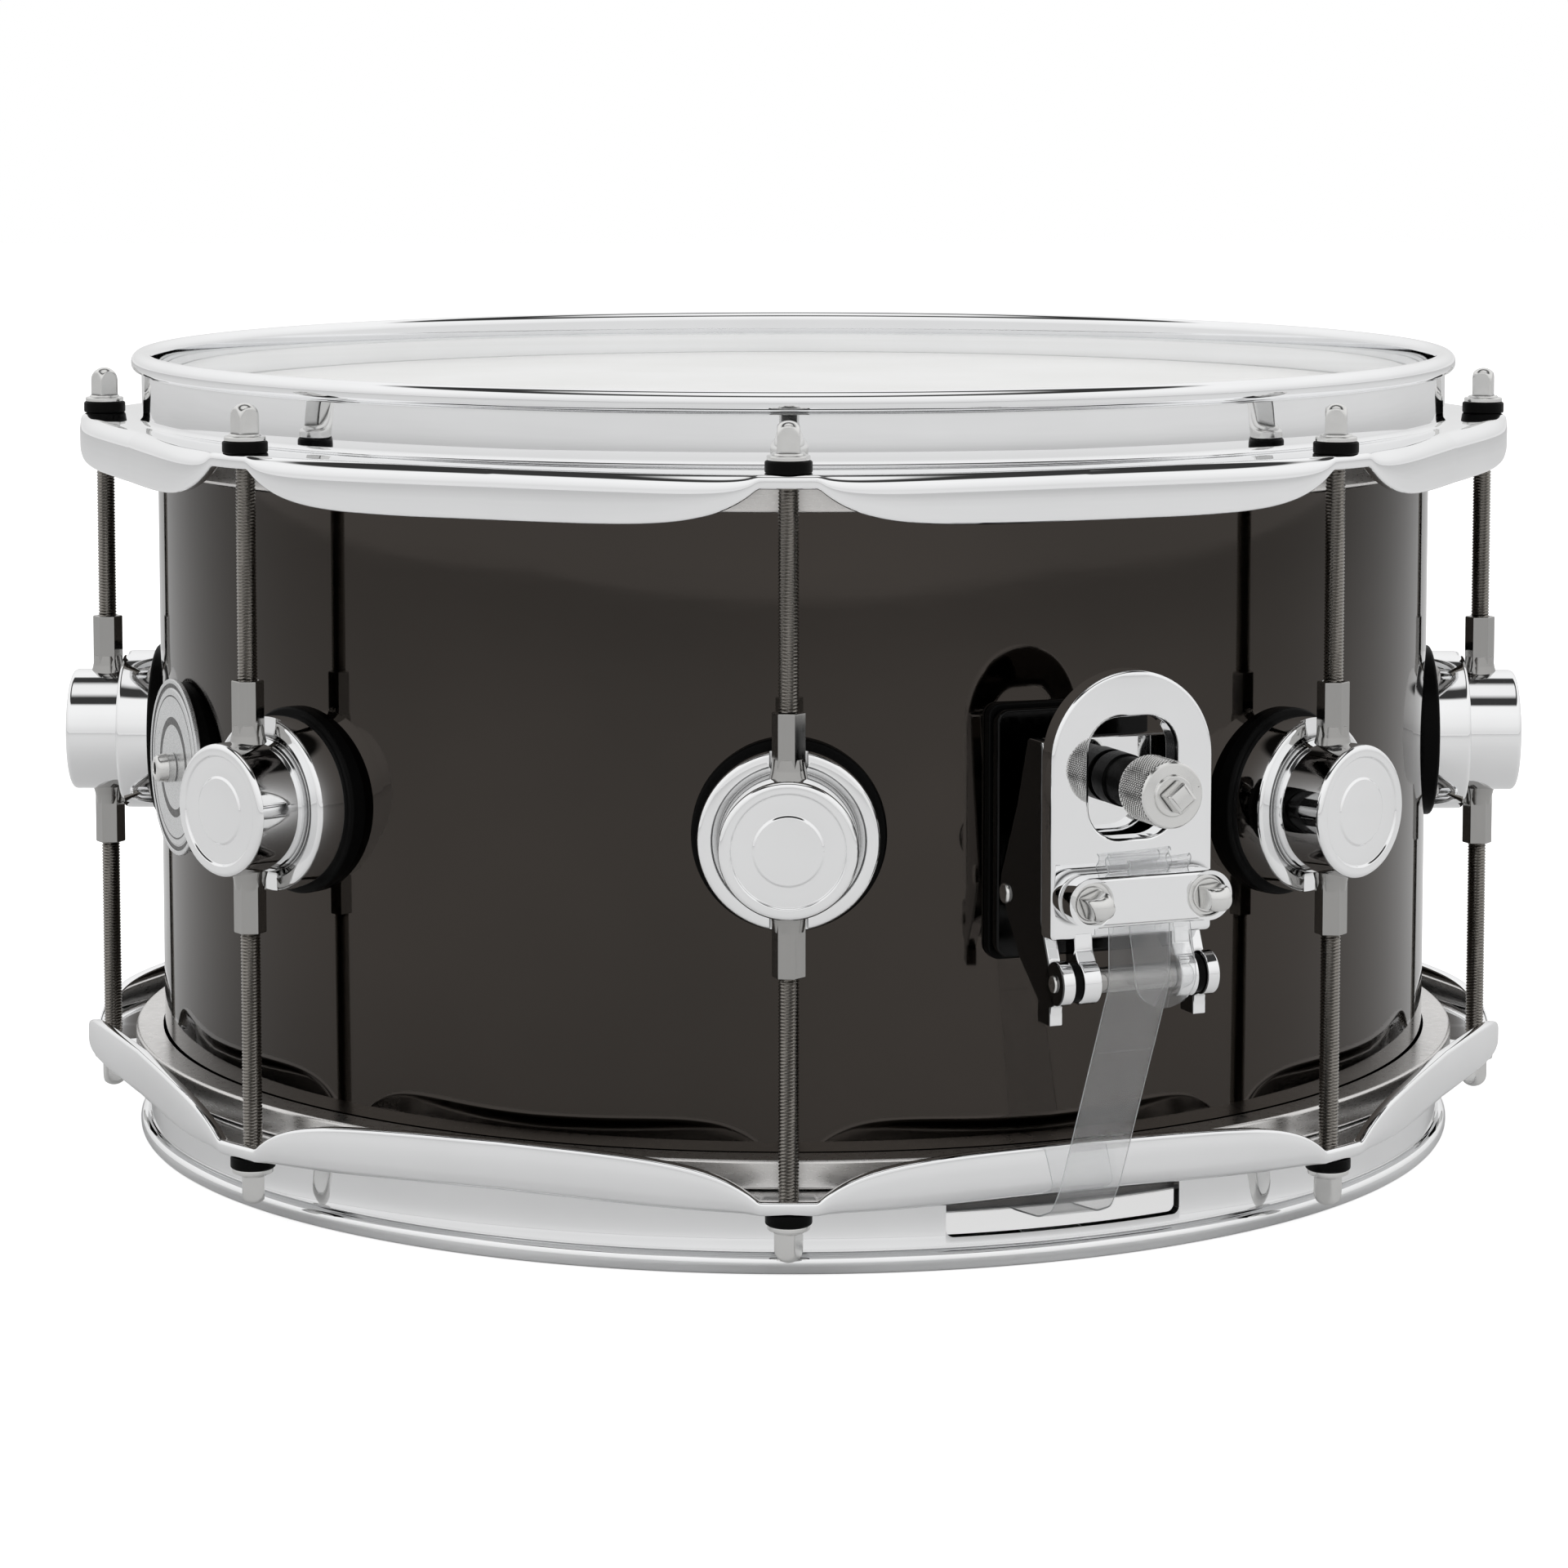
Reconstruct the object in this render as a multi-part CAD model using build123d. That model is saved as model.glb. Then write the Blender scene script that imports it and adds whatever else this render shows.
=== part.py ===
from build123d import *
from math import cos, exp, pi, sin
import os

# Snare drum, 13 x 7 inch, eight tube lugs, lever throw-off.  Units are millimetres and degrees.
# Frame: +Z up, origin on the drum axis in the plane of the lower rim.
# Azimuth 0 faces -Y and grows towards +X.  "Local" shapes are drawn with +X pointing radially out,
# +Y along the shell and +Z up, and are then turned to their azimuth.

# Driving dimensions
INCH = 25.4
SHELL_RADIUS = 13 * INCH / 2 - 0.6
SHELL_DEPTH = 7 * INCH
SHELL_WALL = 1.2
RIM_REACH = 12.0
LUGS = 8
ROD_CIRCLE = 180.0

# Heights that follow from them
EDGE_LOW = RIM_REACH
EDGE_HIGH = RIM_REACH + SHELL_DEPTH
HEIGHT = SHELL_DEPTH + 2 * RIM_REACH
MID = HEIGHT / 2
LUG_AZIMUTHS = [360 / LUGS * i for i in range(LUGS)]
STRAINER_AZIMUTH = 22.5
BUTT_AZIMUTH = STRAINER_AZIMUTH + 180
BADGE_AZIMUTH = -66.5

# Bearing edge
EDGE_BEND = 2.0
EDGE_FLANGE = 8.0

# Heads
BATTER_FILM = 0.25
SNARE_FILM = 0.12
COLLAR_RADIUS = SHELL_RADIUS + 0.1
FLESH_INNER = 165.2
FLESH_OUTER = 172.0
FLESH_HEIGHT = 7.0

# Triple-flanged hoops, drawn as the upper one
HOOP_SHEET = 2.8
HOOP_INNER = 165.6
HOOP_WALL = HOOP_INNER + HOOP_SHEET
BEAD_RADIUS = 171.0
BEAD_HEIGHT = 4.9
EAR_TOP = 184.4
EAR_UNDER = EAR_TOP - HOOP_SHEET
EAR_RADIUS = 185.4
EAR_HALF_ANGLE = 2.1
EAR_LIP = 0.5
ARCH_SPREAD = 3.1
SKIRT_RADIUS = 177.0
SKIRT_DEPTH = 9.0
GATE_WIDTH = 59.6
GATE_HEIGHT = 9.9
GATE_BOTTOM = 7.4
GATE_CORNER = 1.8

# Tension rods
ROD_RADIUS = 2.4
ROD_END = 106.0
NYLON_RADIUS = 5.35
NYLON_HEIGHT = 2.8
COLLAR_HEIGHT = 1.0
KEY_SQUARE = 5.1
KEY_HEIGHT = 7.8
RUNNING_GAP = 0.05

# Lugs
LUG_SEAT = 167.0
LUG_BASE_FRONT = 176.0
LUG_TURRET_FRONT = 189.1
LUG_BASE_RADIUS = 20.65
LUG_TURRET_RADIUS = 15.7
TUBE_FLATS = 6.6
TUBE_REACH = 30.0
SCREW_RADIUS = 2.0
LUG_SCREW_SPACING = 19.0

# Throw-off, in radial distance and height
PLATE_BACK = 166.0
PLATE_FRONT = 169.5
BODY_HALF_WIDTH = 19.0
PIVOT = (175.0, 88.1)
PIVOT_RADIUS = 2.5
HINGE = (200.6, 72.0)
HINGE_RADIUS = 2.0
KNUCKLE_RADIUS = 5.0
SIDE_INNER = 16.2
SIDE_OUTER = 19.4
LEVER_BACK = 194.0
LEVER_FRONT = 200.0
LEVER_HALF_WIDTH = 19.8
LEVER_ARCH_CENTRE = 121.1
CLAMP_HEIGHT = 91.1
CLAMP_SEAT = 203.2
CLAMP_FRONT = 209.5
CLAMP_HALF_WIDTH = 19.6
CLAMP_HALF_HEIGHT = 5.65
CLAMP_SCREW_SPACING = 28.7
KNOB_HEIGHT = 115.8
KNOB_RADIUS = 7.5
KNOB_BACK = 207.2
KNOB_FACE = 219.5
KNOB_TIP = 224.5
KNOB_SQUARE = 5.2
NECK_RADIUS = 6.0
SHAFT_RADIUS = 2.5
STRAP_THICKNESS = 0.4
STRAP_HALF_WIDTH = 7.5
STRAP_END = 9.4
TAIL_SHIFT = 4.5
TAIL_SLANT = 2.9
SLEEVE_RADIUS = 2.95
SLEEVE_HALF_LENGTH = 9.7

# Butt plate
BUTT_SEAT = 176.0
BUTT_HEIGHT = 55.0

# Snare wires
WIRES = 20
WIRE_PITCH = 1.9
WIRE_RADIUS = 0.85
WIRE_HALF_LENGTH = 136.0
END_PLATE = (128.0, 146.0)


def at(azimuth):
    """Turn a local shape to its place around the shell."""
    return Rot(0, 0, azimuth - 90)


def around(shape):
    """Copy a local shape to every lug."""
    return [at(azimuth) * shape for azimuth in LUG_AZIMUTHS]


def below(shape):
    """The lower half of the drum mirrors the upper half."""
    return mirror(shape, about=Plane.XY.offset(MID))


def ring(inner, outer, low, high):
    """Plain ring about the drum axis."""
    tube = Cylinder(outer, high - low) - Cylinder(inner, high - low)
    return Pos(0, 0, (low + high) / 2) * tube


def radial(radius, start, end, height=0.0, side=0.0):
    """Cylinder that points away from the drum axis."""
    bar = Cylinder(radius, end - start, rotation=(0, 90, 0))
    return Pos((start + end) / 2, side, height) * bar


def crosswise(radius, centre, half_length, side=0.0):
    """Cylinder along the shell, at a (radius, height) point."""
    bar = Cylinder(radius, 2 * half_length, rotation=(90, 0, 0))
    return Pos(centre[0], side, centre[1]) * bar


def block(radius_range, side_range, height_range):
    """Box between limits of radius, side position and height."""
    size = [high - low for low, high in (radius_range, side_range, height_range)]
    centre = [(low + high) / 2 for low, high in (radius_range, side_range, height_range)]
    return Pos(*centre) * Box(*size)


def side_plate(points, side_low, side_high):
    """Plate cut from a (radius, height) outline, standing between two side positions."""
    face = Plane.XZ * make_face(Polyline(*points, close=True))
    return Pos(0, side_low, 0) * extrude(face, amount=side_high - side_low, dir=(0, 1, 0))


def revolve_profile(profile):
    """Turn a (radius, height) face about the drum axis."""
    return revolve(Plane.XZ * profile, axis=Axis.Z)


def shell_cylinder():
    """The space inside the outer face of the shell."""
    return Pos(0, 0, MID) * Cylinder(SHELL_RADIUS, HEIGHT)


def stadium(half_width, half_height, start, end, height):
    """Bar with round ends, lying along the shell."""
    middle = half_width - half_height
    bar = block((start, end), (-middle, middle), (height - half_height, height + half_height))
    for side in (-middle, middle):
        bar += radial(half_height, start, end, height, side)
    return bar


def key_head(start, turn=0.0):
    """Round collar and domed square for a drum key, standing on height `start`."""
    collar = Pos(0, 0, start + COLLAR_HEIGHT / 2) * Cylinder(4.9, COLLAR_HEIGHT)
    square = Pos(0, 0, start + COLLAR_HEIGHT + KEY_HEIGHT / 2) * Box(KEY_SQUARE, KEY_SQUARE, KEY_HEIGHT)
    dome = Pos(0, 0, start + COLLAR_HEIGHT + KEY_HEIGHT - 4.2) * Sphere(4.2)
    column = Pos(0, 0, start + COLLAR_HEIGHT + KEY_HEIGHT / 2 - 2) * Cylinder(4.2, KEY_HEIGHT - 4)
    return collar + Rot(0, 0, turn) * (square & (dome + column))


# Shell

def mounting_holes():
    """Every hole through the shell wall."""
    holes = []
    for azimuth in LUG_AZIMUTHS:
        for step in (-0.5, 0.5):
            height = MID + step * LUG_SCREW_SPACING
            holes.append(at(azimuth) * radial(SCREW_RADIUS + 0.1, 155, 175, height))
    for azimuth, heights in ((STRAINER_AZIMUTH, (78, 123)), (BUTT_AZIMUTH, (48, 62))):
        for height in heights:
            holes.append(at(azimuth) * radial(SCREW_RADIUS + 0.1, 155, 175, height))
    holes.append(at(BADGE_AZIMUTH) * radial(3.05, 155, 175, MID))
    return holes


def make_shell():
    """Brass shell with both edges folded inwards at 45 degrees."""
    apex = EDGE_BEND * 2 ** 0.5
    path = FilletPolyline(
        (SHELL_RADIUS - EDGE_FLANGE, EDGE_LOW - apex + EDGE_FLANGE),
        (SHELL_RADIUS, EDGE_LOW - apex),
        (SHELL_RADIUS, EDGE_HIGH + apex),
        (SHELL_RADIUS - EDGE_FLANGE, EDGE_HIGH + apex - EDGE_FLANGE),
        radius=EDGE_BEND,
    )
    outline = offset(path, amount=SHELL_WALL, side=Side.LEFT, closed=True)
    shell = revolve_profile(make_face(outline))
    return shell - mounting_holes()


# Heads

def head_film(film):
    """Flat film with a collar that is gripped by the flesh hoop."""
    top = EDGE_HIGH
    lip = 181.0
    grip = 168.4
    outline = Polyline(
        (0, top),
        (COLLAR_RADIUS, top),
        (COLLAR_RADIUS, lip),
        (grip, lip),
        (grip, lip - 4.5),
        (grip + film, lip - 4.5),
        (grip + film, lip + film),
        (COLLAR_RADIUS + film, lip + film),
        (COLLAR_RADIUS + film, top + film),
        (0, top + film),
        close=True,
    )
    return revolve_profile(make_face(outline))


def flesh_hoop(film):
    """Aluminium hoop crimped on to the edge of the film."""
    body = ring(FLESH_INNER, FLESH_OUTER, EAR_UNDER - FLESH_HEIGHT, EAR_UNDER)
    slot = ring(FLESH_INNER, 168.4, 181.0 + film, EAR_UNDER)
    return body - head_film(film) - slot


# Hoops

def hoop_wall():
    """Upright wall with the outward bead along the rim."""
    outline = Polyline(
        (HOOP_INNER, EAR_UNDER + 0.6),
        (HOOP_WALL, EAR_UNDER + 0.6),
        (HOOP_WALL, HEIGHT - BEAD_HEIGHT),
        (BEAD_RADIUS, HEIGHT - BEAD_HEIGHT),
        (BEAD_RADIUS, HEIGHT),
        (HOOP_INNER, HEIGHT),
        close=True,
    )
    profile = make_face(outline)
    bead = [v for v in profile.vertices() if v.Y > HEIGHT - 1 or v.X > BEAD_RADIUS - 1]
    return revolve_profile(fillet(bead, 2.3))


def skirt_section(azimuth):
    """Section of flange and skirt at an angle from the nearest ear."""
    past_ear = max(abs(azimuth) - EAR_HALF_ANGLE, 0)
    depth = EAR_LIP + SKIRT_DEPTH * (1 - exp(-past_ear / ARCH_SPREAD))
    reach = SKIRT_RADIUS + (EAR_RADIUS - SKIRT_RADIUS) * exp(-(abs(azimuth) / 13.5) ** 2.3)
    bend = 0.7 + 3.4 * (1 - exp(-depth / 3))
    root = HOOP_WALL - 1.4
    lines = [
        Line((root, EAR_TOP), (reach - bend, EAR_TOP)),
        RadiusArc((reach - bend, EAR_TOP), (reach, EAR_TOP - bend), bend),
        Line((reach, EAR_TOP - bend), (reach, EAR_UNDER - depth)),
        Line((reach, EAR_UNDER - depth), (reach - HOOP_SHEET, EAR_UNDER - depth)),
        Line((reach - HOOP_SHEET, EAR_UNDER - depth), (reach - HOOP_SHEET, EAR_UNDER)),
        Line((reach - HOOP_SHEET, EAR_UNDER), (root, EAR_UNDER)),
        Line((root, EAR_UNDER), (root, EAR_TOP)),
    ]
    return at(azimuth) * (Plane.XZ * make_face(lines))


def make_hoop():
    """Upper hoop: wall, and a flange that turns down into a skirt between the ears."""
    half = 180 / LUGS
    steps = (2.1, 2.6, 3.2, 3.9, 4.8, 5.9, 7.2, 8.8, 10.8, 13.5, 17.5, half)
    azimuths = [-a for a in reversed(steps)] + [0] + list(steps)
    sector = loft([skirt_section(a) for a in azimuths], ruled=True)
    hoop = hoop_wall()
    for azimuth in LUG_AZIMUTHS:
        hoop += Rot(0, 0, azimuth) * sector
    seat = Pos(ROD_CIRCLE, 0, EAR_TOP + 3) * Cylinder(NYLON_RADIUS + 0.6, 6)
    hole = Pos(ROD_CIRCLE, 0, EAR_TOP) * Cylinder(ROD_RADIUS + 0.5, 20)
    return hoop - around(seat) - around(hole)


def gates(hoop):
    """Two windows in the lower hoop that let the snare straps through."""
    window = Box(20, GATE_WIDTH, GATE_HEIGHT)
    window = fillet(window.edges().filter_by(Axis.X), GATE_CORNER)
    window = Pos(HOOP_INNER, 0, GATE_BOTTOM + GATE_HEIGHT / 2) * window
    return hoop - at(STRAINER_AZIMUTH) * window - at(BUTT_AZIMUTH) * window


# Tension rods

def make_rod(turn):
    """Upper tension rod on the local X axis."""
    head_base = EAR_TOP + NYLON_HEIGHT
    shank = Pos(0, 0, (ROD_END + head_base) / 2) * Cylinder(ROD_RADIUS, head_base - ROD_END)
    return Pos(ROD_CIRCLE, 0, 0) * (shank + key_head(head_base, turn))


def nylon_washer():
    """Black washer under each rod head."""
    disc = Cylinder(NYLON_RADIUS, NYLON_HEIGHT) - Cylinder(ROD_RADIUS + RUNNING_GAP, NYLON_HEIGHT)
    disc = chamfer(disc.edges().filter_by(GeomType.CIRCLE).group_by(SortBy.RADIUS)[-1], 0.3)
    return Pos(ROD_CIRCLE, 0, EAR_TOP + NYLON_HEIGHT / 2) * disc


# Lugs

def hex_tube(turn):
    """Hexagonal receiver tube, threaded for both rods."""
    bar = extrude(RegularPolygon(TUBE_FLATS / 2, 6, major_radius=False), amount=2 * TUBE_REACH)
    bar = Pos(ROD_CIRCLE, 0, MID - TUBE_REACH) * Rot(0, 0, turn) * bar
    return bar - Pos(ROD_CIRCLE, 0, MID) * Cylinder(ROD_RADIUS + RUNNING_GAP, 3 * TUBE_REACH)


def lug_body(turn):
    """Round base and turret of one lug."""
    base = radial(LUG_BASE_RADIUS, LUG_SEAT, LUG_BASE_FRONT - 0.6, MID)
    base = fillet(base.edges().group_by(Axis.X)[-1], 1)
    step = radial(17.05, LUG_BASE_FRONT - 1, LUG_BASE_FRONT, MID)
    turret = radial(LUG_TURRET_RADIUS, LUG_BASE_FRONT - 1, LUG_TURRET_FRONT, MID)
    turret = fillet(turret.edges().group_by(Axis.X)[-1], 1.5)
    body = base + step + turret
    for side in (-1, 1):
        foot = Cone(6.2, 4.0, 5.5, rotation=(0 if side > 0 else 180, 0, 0))
        body += Pos(ROD_CIRCLE, 0, MID + side * (LUG_TURRET_RADIUS + 1.2)) * foot
    body -= radial(12.8, LUG_TURRET_FRONT - 0.5, LUG_TURRET_FRONT, MID)
    body += radial(7.75, LUG_TURRET_FRONT - 1, LUG_TURRET_FRONT - 0.1, MID)
    bar = extrude(RegularPolygon(TUBE_FLATS / 2, 6, major_radius=False), amount=4 * TUBE_REACH)
    body -= Pos(ROD_CIRCLE, 0, MID - 2 * TUBE_REACH) * Rot(0, 0, turn) * bar
    for step in (-0.5, 0.5):
        body -= radial(SCREW_RADIUS + RUNNING_GAP, LUG_SEAT, 174, MID + step * LUG_SCREW_SPACING)
    return body


def lug_gasket():
    """Black gasket with a flat front and a back that fits the shell."""
    gasket = radial(22.25, 155, LUG_SEAT, MID)
    gasket = fillet(gasket.edges().group_by(Axis.X)[-1], 0.6) - shell_cylinder()
    for step in (-0.5, 0.5):
        gasket -= radial(SCREW_RADIUS + 0.1, 155, 175, MID + step * LUG_SCREW_SPACING)
    return gasket


def inner_screw(height, tip):
    """Mounting screw put in from inside the shell."""
    head_base = SHELL_RADIUS - SHELL_WALL - 1.2
    head = radial(4.2, head_base - 2.6, head_base, height)
    head = fillet(head.edges().group_by(Axis.X)[0], 1.2)
    slot = block((head_base - 3, head_base - 1.6), (-4.5, 4.5), (height - 0.5, height + 0.5))
    return head - slot + radial(SCREW_RADIUS, head_base - 1, tip, height)


def inner_washer(height):
    """Washer between screw head and shell, dished to the curve."""
    face = SHELL_RADIUS - SHELL_WALL
    disc = radial(5.0, face - 1.2, face + 1, height) - radial(SCREW_RADIUS + 0.1, 150, 170, height)
    return disc & (Pos(0, 0, MID) * Cylinder(face, HEIGHT))


def screws_and_washers(azimuth, heights, tip):
    """Mounting screws and washers of one fitting."""
    screws = [at(azimuth) * inner_screw(height, tip) for height in heights]
    washers = [at(azimuth) * inner_washer(height) for height in heights]
    return screws, washers


# Badge

def badge_pad():
    """Dark pad that fills the gap between flat badge and round shell."""
    pad = radial(20.5, 155, PLATE_BACK, MID) - shell_cylinder()
    return at(BADGE_AZIMUTH) * (pad - radial(3.05, 150, 180, MID))


def badge_disc():
    """Flat round badge."""
    disc = radial(22, PLATE_BACK, 167.6, MID)
    disc = fillet(disc.edges().group_by(Axis.X)[-1], 0.5)
    return at(BADGE_AZIMUTH) * (disc - radial(3.05, 150, 180, MID))


def vent_stud():
    """Hollow stud that vents the shell and holds the badge."""
    stud = radial(3.0, 158, 172.6, MID)
    stud = fillet(stud.edges().group_by(Axis.X)[-1], 1.4)
    stud += radial(4.4, 167.6, 169.2, MID)
    stud += radial(5.2, 160, SHELL_RADIUS - SHELL_WALL, MID) & (
        Pos(0, 0, MID) * Cylinder(SHELL_RADIUS - SHELL_WALL, HEIGHT)
    )
    return at(BADGE_AZIMUTH) * (stud - radial(1.5, 150, 180, MID))


# Throw-off

def strainer_gasket():
    """Gasket between throw-off plate and shell."""
    pad = block((155, PLATE_BACK), (-19.6, 19.6), (71, 130)) - shell_cylinder()
    for height in (78, 123):
        pad -= radial(SCREW_RADIUS + 0.1, 155, 175, height)
    return pad


def strainer_base():
    """Fixed plate with two pivot ears and the block that holds the barrel nut."""
    plate = block((PLATE_BACK, PLATE_FRONT), (-BODY_HALF_WIDTH, BODY_HALF_WIDTH), (72, 129))
    plate = fillet(plate.edges().filter_by(Axis.X), 3)
    plate += block((PLATE_FRONT, 177.6), (-9, 9), (KNOB_HEIGHT - 6, KNOB_HEIGHT + 6))
    for side in (-1, 1):
        low, high = sorted((side * 12.2, side * 15.7))
        plate += block((PLATE_FRONT, PIVOT[0]), (low, high), (PIVOT[1] - 5, PIVOT[1] + 5))
        plate += crosswise(5, PIVOT, 1.75, (low + high) / 2)
    plate -= crosswise(PIVOT_RADIUS + RUNNING_GAP, PIVOT, 30)
    plate -= crosswise(4, (173.5, KNOB_HEIGHT), 9)
    plate -= radial(3.2, PLATE_FRONT, 180, KNOB_HEIGHT)
    for height in (78, 123):
        plate -= radial(SCREW_RADIUS, 160, 175, height)
    return plate


def barrel_nut():
    """Cross barrel that takes the thread of the tension knob."""
    nut = crosswise(4, (173.5, KNOB_HEIGHT), 9)
    return nut - radial(SHAFT_RADIUS + RUNNING_GAP, PLATE_FRONT - 1, 180, KNOB_HEIGHT)


def strainer_rocker():
    """Frame of two side plates and a web, which tilts on the pivot pin."""
    outline = [
        (186.0, 125.0),
        (193.7, 125.0),
        (193.7, 80.8),
        (196.6, 77.0),
        (201.0, 67.2),
        (198.0, 66.3),
        (198.0, 62.0),
        (181.6, 75.0),
        (171.9, 86.0),
        (171.9, 91.6),
        (180.8, 110.0),
    ]
    frame = block((186.5, 190.0), (-SIDE_INNER, SIDE_INNER), (96, 125))
    for side in (-1, 1):
        low, high = sorted((side * SIDE_INNER, side * SIDE_OUTER))
        frame += side_plate(outline, low, high)
        frame += crosswise(KNUCKLE_RADIUS, HINGE, (high - low) / 2, (low + high) / 2)
    frame -= radial(3.6, 180, 195, KNOB_HEIGHT)
    frame -= crosswise(PIVOT_RADIUS, PIVOT, 30)
    return frame - crosswise(HINGE_RADIUS, HINGE, 30)


def strainer_lever():
    """Arched lever with a window for the knob, a strap seat and two hinge knuckles."""
    width = (-LEVER_HALF_WIDTH, LEVER_HALF_WIDTH)
    plate = block((LEVER_BACK, LEVER_FRONT), width, (81.3, LEVER_ARCH_CENTRE))
    plate += radial(LEVER_HALF_WIDTH, LEVER_BACK, LEVER_FRONT, LEVER_ARCH_CENTRE)
    window = block((LEVER_BACK, LEVER_FRONT), (-10.7, 10.7), (103.4, 130.6))
    window = fillet(window.edges().filter_by(Axis.X), 7)
    plate -= window
    plate = fillet(plate.edges().filter_by(GeomType.CIRCLE).group_by(Axis.X)[-1], 0.8)
    plate += stadium(CLAMP_HALF_WIDTH, CLAMP_HALF_HEIGHT, LEVER_FRONT - 0.5, CLAMP_SEAT, CLAMP_HEIGHT)
    for side in (-1, 1):
        low, high = sorted((side * 9.8, side * 14.2))
        plate += block((196.0, LEVER_FRONT), (low, high), (HINGE[1], 82))
        plate += crosswise(KNUCKLE_RADIUS, HINGE, (high - low) / 2, (low + high) / 2)
        screw_side = side * CLAMP_SCREW_SPACING / 2
        plate -= radial(SCREW_RADIUS + RUNNING_GAP, 196, 205, CLAMP_HEIGHT, screw_side)
    return plate - crosswise(HINGE_RADIUS + RUNNING_GAP, HINGE, 30)


def hinge_sleeve():
    """Sleeve on the hinge pin that guides the strap."""
    return crosswise(SLEEVE_RADIUS, HINGE, SLEEVE_HALF_LENGTH) - crosswise(HINGE_RADIUS, HINGE, 30)


def hinge_washers():
    """Black washers between the knuckles of frame and lever."""
    washers = []
    for side in (-15.2, 15.2):
        washer = crosswise(4.3, HINGE, 1.0, side) - crosswise(HINGE_RADIUS, HINGE, 30)
        washers.append(washer)
    return washers


def clamp_bar(start):
    """Stadium bar with cupped seats that presses the strap on to its fitting."""
    end = start + CLAMP_FRONT - CLAMP_SEAT - 2 * STRAP_THICKNESS
    bar = stadium(CLAMP_HALF_WIDTH, CLAMP_HALF_HEIGHT, start, end, 0)
    bar = fillet(bar.edges().group_by(Axis.X)[-1], 0.8)
    for side in (-1, 1):
        screw_side = side * CLAMP_SCREW_SPACING / 2
        bar -= radial(5.1, end - 1.2, end, 0, screw_side)
        bar -= radial(SCREW_RADIUS + RUNNING_GAP, start - 1, end, 0, screw_side)
    return bar


def clamp_screw(start, side, turn):
    """Key-headed screw through one end of a clamp bar."""
    seat = start + CLAMP_FRONT - CLAMP_SEAT - 2 * STRAP_THICKNESS - 1.2
    screw = key_head(0, turn) + Pos(0, 0, -4.5) * Cylinder(SCREW_RADIUS, 9)
    return Pos(seat, side * CLAMP_SCREW_SPACING / 2, 0) * Rot(0, 90, 0) * screw


def tension_knob():
    """Knurled knob with its neck, threaded shaft and square end."""
    shaft = radial(SHAFT_RADIUS, 169.7, 192, KNOB_HEIGHT)
    neck = radial(NECK_RADIUS, 191, KNOB_BACK + 0.5, KNOB_HEIGHT)
    grip = radial(KNOB_RADIUS, KNOB_BACK, KNOB_FACE, KNOB_HEIGHT)
    grip = chamfer(grip.edges().filter_by(GeomType.CIRCLE), 0.6)
    flutes = 36
    for i in range(flutes):
        angle = 2 * pi * i / flutes
        side = KNOB_RADIUS * cos(angle)
        height = KNOB_HEIGHT + KNOB_RADIUS * sin(angle)
        grip -= radial(0.28, KNOB_BACK - 1, KNOB_FACE + 1, height, side)
    collar = radial(4.5, KNOB_FACE - 0.5, KNOB_FACE + 0.8, KNOB_HEIGHT)
    half = KNOB_SQUARE / 2
    square = fillet(block((KNOB_FACE, KNOB_TIP), (-half, half), (-half, half)).edges(), 0.7)
    square = Pos(0, 0, KNOB_HEIGHT) * Rot(38, 0, 0) * square
    return shaft + neck + grip + collar + square


def knob_washer():
    """Bearing washer between knob and frame."""
    disc = radial(5.2, 190.0, 191.0, KNOB_HEIGHT)
    return disc - radial(SHAFT_RADIUS + RUNNING_GAP, 185, 195, KNOB_HEIGHT)


def strip(points, bend):
    """Plastic strap that follows (radius, height) points."""
    path = FilletPolyline(*points, radius=bend)
    face = make_face(offset(path, amount=STRAP_THICKNESS, side=Side.LEFT, closed=True))
    local = Plane.XZ * face
    return Pos(0, -STRAP_HALF_WIDTH, 0) * extrude(local, amount=2 * STRAP_HALF_WIDTH, dir=(0, 1, 0))


def strainer_strap():
    """Strap from the lever clamp, over the hinge sleeve and the skirt, and through the gate."""
    seat = CLAMP_SEAT
    main = strip(
        [(seat, 97.0), (seat, 85.2), (203.7, 73.5), (203.5, 70.6), (178.9, 19.0), (174.5, 12.6),
         (163.0, STRAP_END), (130.0, STRAP_END)],
        0.8,
    )
    tail = strip(
        [(seat + STRAP_THICKNESS, 97.0), (seat + STRAP_THICKNESS, 84.0), (205.8, 74.5), (205.8, 65.8)],
        2.0,
    )
    slant = Pos(0, 0, CLAMP_HEIGHT) * Rot(TAIL_SLANT, 0, 0) * Pos(0, 0, -CLAMP_HEIGHT)
    tail = Pos(0, TAIL_SHIFT, 0) * slant * tail
    half_length = STRAP_HALF_WIDTH + TAIL_SHIFT / 2
    loop = crosswise(1.0, (seat + STRAP_THICKNESS, 97.9), half_length, TAIL_SHIFT / 2)
    return main + tail + loop


# Butt plate

def butt_gasket():
    """Gasket between butt plate and shell."""
    pad = block((155, PLATE_BACK), (-20.2, 20.2), (BUTT_HEIGHT - 13, BUTT_HEIGHT + 13)) - shell_cylinder()
    for height in (48, 62):
        pad -= radial(SCREW_RADIUS + 0.1, 155, 175, height)
    return pad


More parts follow.
